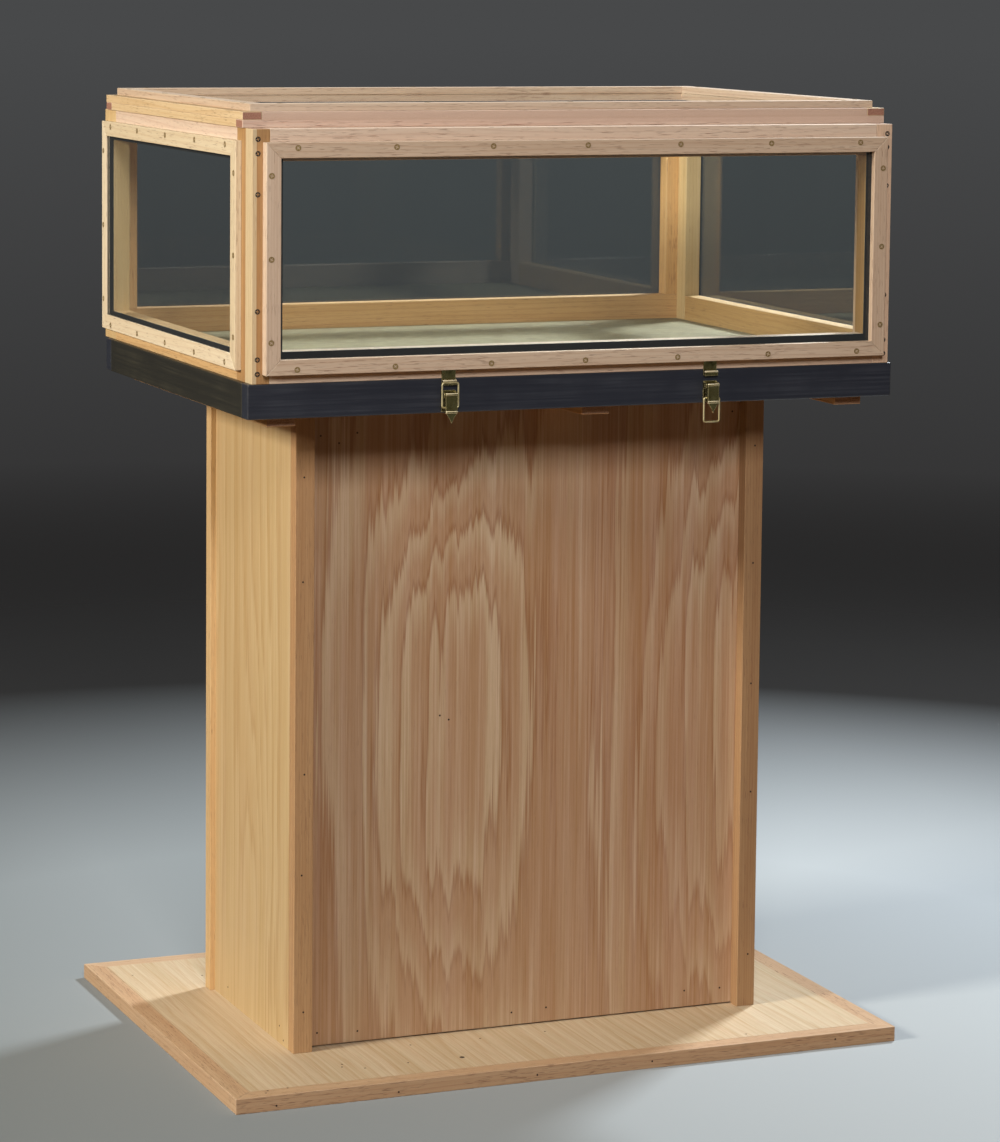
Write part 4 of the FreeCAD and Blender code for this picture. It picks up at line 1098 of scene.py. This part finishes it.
# Rounded bar along X
def addBead(piece, centre, length, radius):
    bar = bmesh.new()
    turn = Matrix.Translation(centre) @ Matrix.Rotation(math.radians(90), 4, "Y")
    bmesh.ops.create_cone(bar, cap_ends=True, segments=latchBeads["segments"], radius1=radius, radius2=radius,
                          depth=length, matrix=turn)
    ends = [edge for edge in bar.edges if len(edge.link_faces) == 2
            and max(len(face.verts) for face in edge.link_faces) > 4]
    roundEdges(bar, ends, latchBeads["endRounding"])
    for face in bar.faces:
        face.smooth = True
    addTo(piece, bar)


# Rolled edges that catch the light: along a lever's top and foot, and along a strike's lip; their pale,
# barely metallic brass is a painted highlight
def buildBeads():
    for side in ("left", "right"):
        lever = latchBeads["lever"]
        low, high, span = edgeBox(f"{side}_latch_lever")
        middle = (low.x + high.x) / 2
        front = low.y + lever["reach"]
        piece = bmesh.new()
        for z in (high.z - lever["topDrop"], low.z + lever["footRise"]):
            addBead(piece, Vector((middle, front, z)), span.x, lever["radius"])
        finishPiece(piece, f"{side}LeverBeads", f"{side}_lever", "brass", [paintedHighlightBrass])
        strike = latchBeads["strike"]
        low, high, span = edgeBox(f"{side}_latch_strike")
        piece = bmesh.new()
        lip = Vector((middle, low.y + strike["reach"], low.z + strike["lipRise"]))
        addBead(piece, lip, span.x, strike["radius"])
        finishPiece(piece, f"{side}StrikeBead", "hood", "brass", [paintedHighlightBrass])


def finishNodes():
    for node, material in nodeFinishes.items():
        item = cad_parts[node]
        item.data.materials.clear()
        item.data.materials.append(material)
    for node in latchPlates:
        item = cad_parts[node]
        weld = item.modifiers.new("weld", "WELD")
        weld.merge_threshold = plateRounding["weld"]
        bevel = item.modifiers.new("rounding", "BEVEL")
        bevel.width = plateRounding["width"]
        bevel.segments = 2
        bevel.limit_method = "ANGLE"
        bevel.angle_limit = math.radians(plateRounding["angleDegrees"])
        bevel.use_clamp_overlap = True


# Floor and light

floorLook = {"nearLeft": (98, 104, 105), "nearRight": (199, 206, 211), "sideEdge": 1.2, "far": (46, 45, 45),
             "nearEdge": 0.95, "farEdge": 2.3, "fadeStart": 2.8, "fadeEnd": 5.5, "radius": 6.0,
             "bounce": (122, 92, 60), "roughness": 0.9, "gloss": 0.2, "segments": 96}
seenDirectly = ("Camera", "Transmission", "Glossy")


# Pale paper under the case, painted darker to the left as shade and paler to the right as a pool of light,
# that darkens with distance and then fades out into the backdrop
def buildFloor(look):
    shape = bmesh.new()
    bmesh.ops.create_circle(shape, cap_ends=True, radius=look["radius"], segments=look["segments"])
    mesh = meshFrom(shape, "floor")
    floor = bpy.data.objects.new("floor", mesh)
    scene.collection.objects.link(floor)
    material, tree, shader = newMaterial("paperFloor")
    point = objectPoint(tree)
    distance = vectorMaths("LENGTH", point)
    # Painted shade to the left and a painted pool of light to the right
    sideways = remap(split(point)[0], -look["sideEdge"], look["sideEdge"])
    colour = mixColour(sideways, look["nearLeft"], look["nearRight"])
    colour = mixColour(remap(distance, look["nearEdge"], look["farEdge"]), colour, look["far"])
    colour = mixColour(isRay(tree, *seenDirectly), look["bounce"], colour)  # dim warm light for the wood
    feed(shader, {"Base Color": colour, "Roughness": look["roughness"], "Specular IOR Level": look["gloss"],
                  "Alpha": remap(distance, look["fadeStart"], look["fadeEnd"], 1.0, 0.0)})
    mesh.materials.append(material)


lamps = {
    "leftKey": {"turn": 80, "height": 21, "distance": 4.2, "size": 0.8, "power": 170,
                "colour": (1.0, 0.945, 0.83)},
    "frontSoftbox": {"turn": 18, "height": 27, "distance": 4.6, "size": 1.0, "power": 112,
                     "colour": (1.0, 0.97, 0.95)},
    "rightSoftbox": {"turn": -120, "height": 48, "distance": 3.4, "size": 0.4, "power": 135,
                     "colour": (0.90, 0.96, 1.0)},
}
lampTarget = Vector((0, 0, 0.75))
roomLight = {"colour": (1.0, 0.66, 0.36), "strength": 0.016, "low": (46, 45, 45), "high": (72, 73, 74),
             "front": (98, 100, 101), "horizon": (-0.17, -0.02), "frontFade": (0.1, -0.6)}


# A lamp's turn is in degrees to the left of straight ahead, its height in degrees above level
def buildLamps():
    for name, lamp in lamps.items():
        data = bpy.data.lights.new(name, "AREA")
        data.shape = "SQUARE"
        data.size = lamp["size"]
        data.energy = lamp["power"]
        data.color = lamp["colour"]
        turn, height = math.radians(lamp["turn"]), math.radians(lamp["height"])
        level = math.cos(height)
        way = Vector((-math.sin(turn) * level, -math.cos(turn) * level, math.sin(height)))
        item = bpy.data.objects.new(name, data)
        item.location = lampTarget + way * lamp["distance"]
        item.rotation_euler = (-way).to_track_quat("-Z", "Y").to_euler()
        item.visible_camera = False
        scene.collection.objects.link(item)


# Even light for the object, and a plain grey behind it for the camera, gloss and glass
def buildRoomLight(look):
    world = bpy.data.worlds.new("studio")
    world.use_nodes = True
    tree = world.node_tree
    tree.nodes.clear()
    even = fromNode(tree, "ShaderNodeBackground",
                    {"Color": (*look["colour"], 1), "Strength": look["strength"]})
    _, ahead, up = split(fromNode(tree, "ShaderNodeTexCoord", output="Generated"))
    grey = mixColour(remap(up, *look["horizon"]), look["low"], look["high"])
    grey = mixColour(remap(ahead, *look["frontFade"]) * isRay(tree, "Glossy"), grey, look["front"])
    plain = fromNode(tree, "ShaderNodeBackground", {"Color": grey})
    mixed = fromNode(tree, "ShaderNodeMixShader", {0: isRay(tree, *seenDirectly), 1: even, 2: plain})
    addNode(tree, "ShaderNodeOutputWorld", {"Surface": mixed})
    scene.world = world


scene.view_settings.view_transform = "Standard"
buildCamera(cameraView)
buildFloor(floorLook)
buildLamps()
buildRoomLight(roomLight)
print("camera, floor and light ready")

buildBaseEdging()
buildStraightPieces()
buildJambs()
buildLedgers()
buildCapFrame()
buildGlazingFrames()
print("wooden pieces built")
buildFasteners()
print("screws and nail marks spread")
buildGaskets()
finishNodes()
buildBeads()
print("nodes finished")
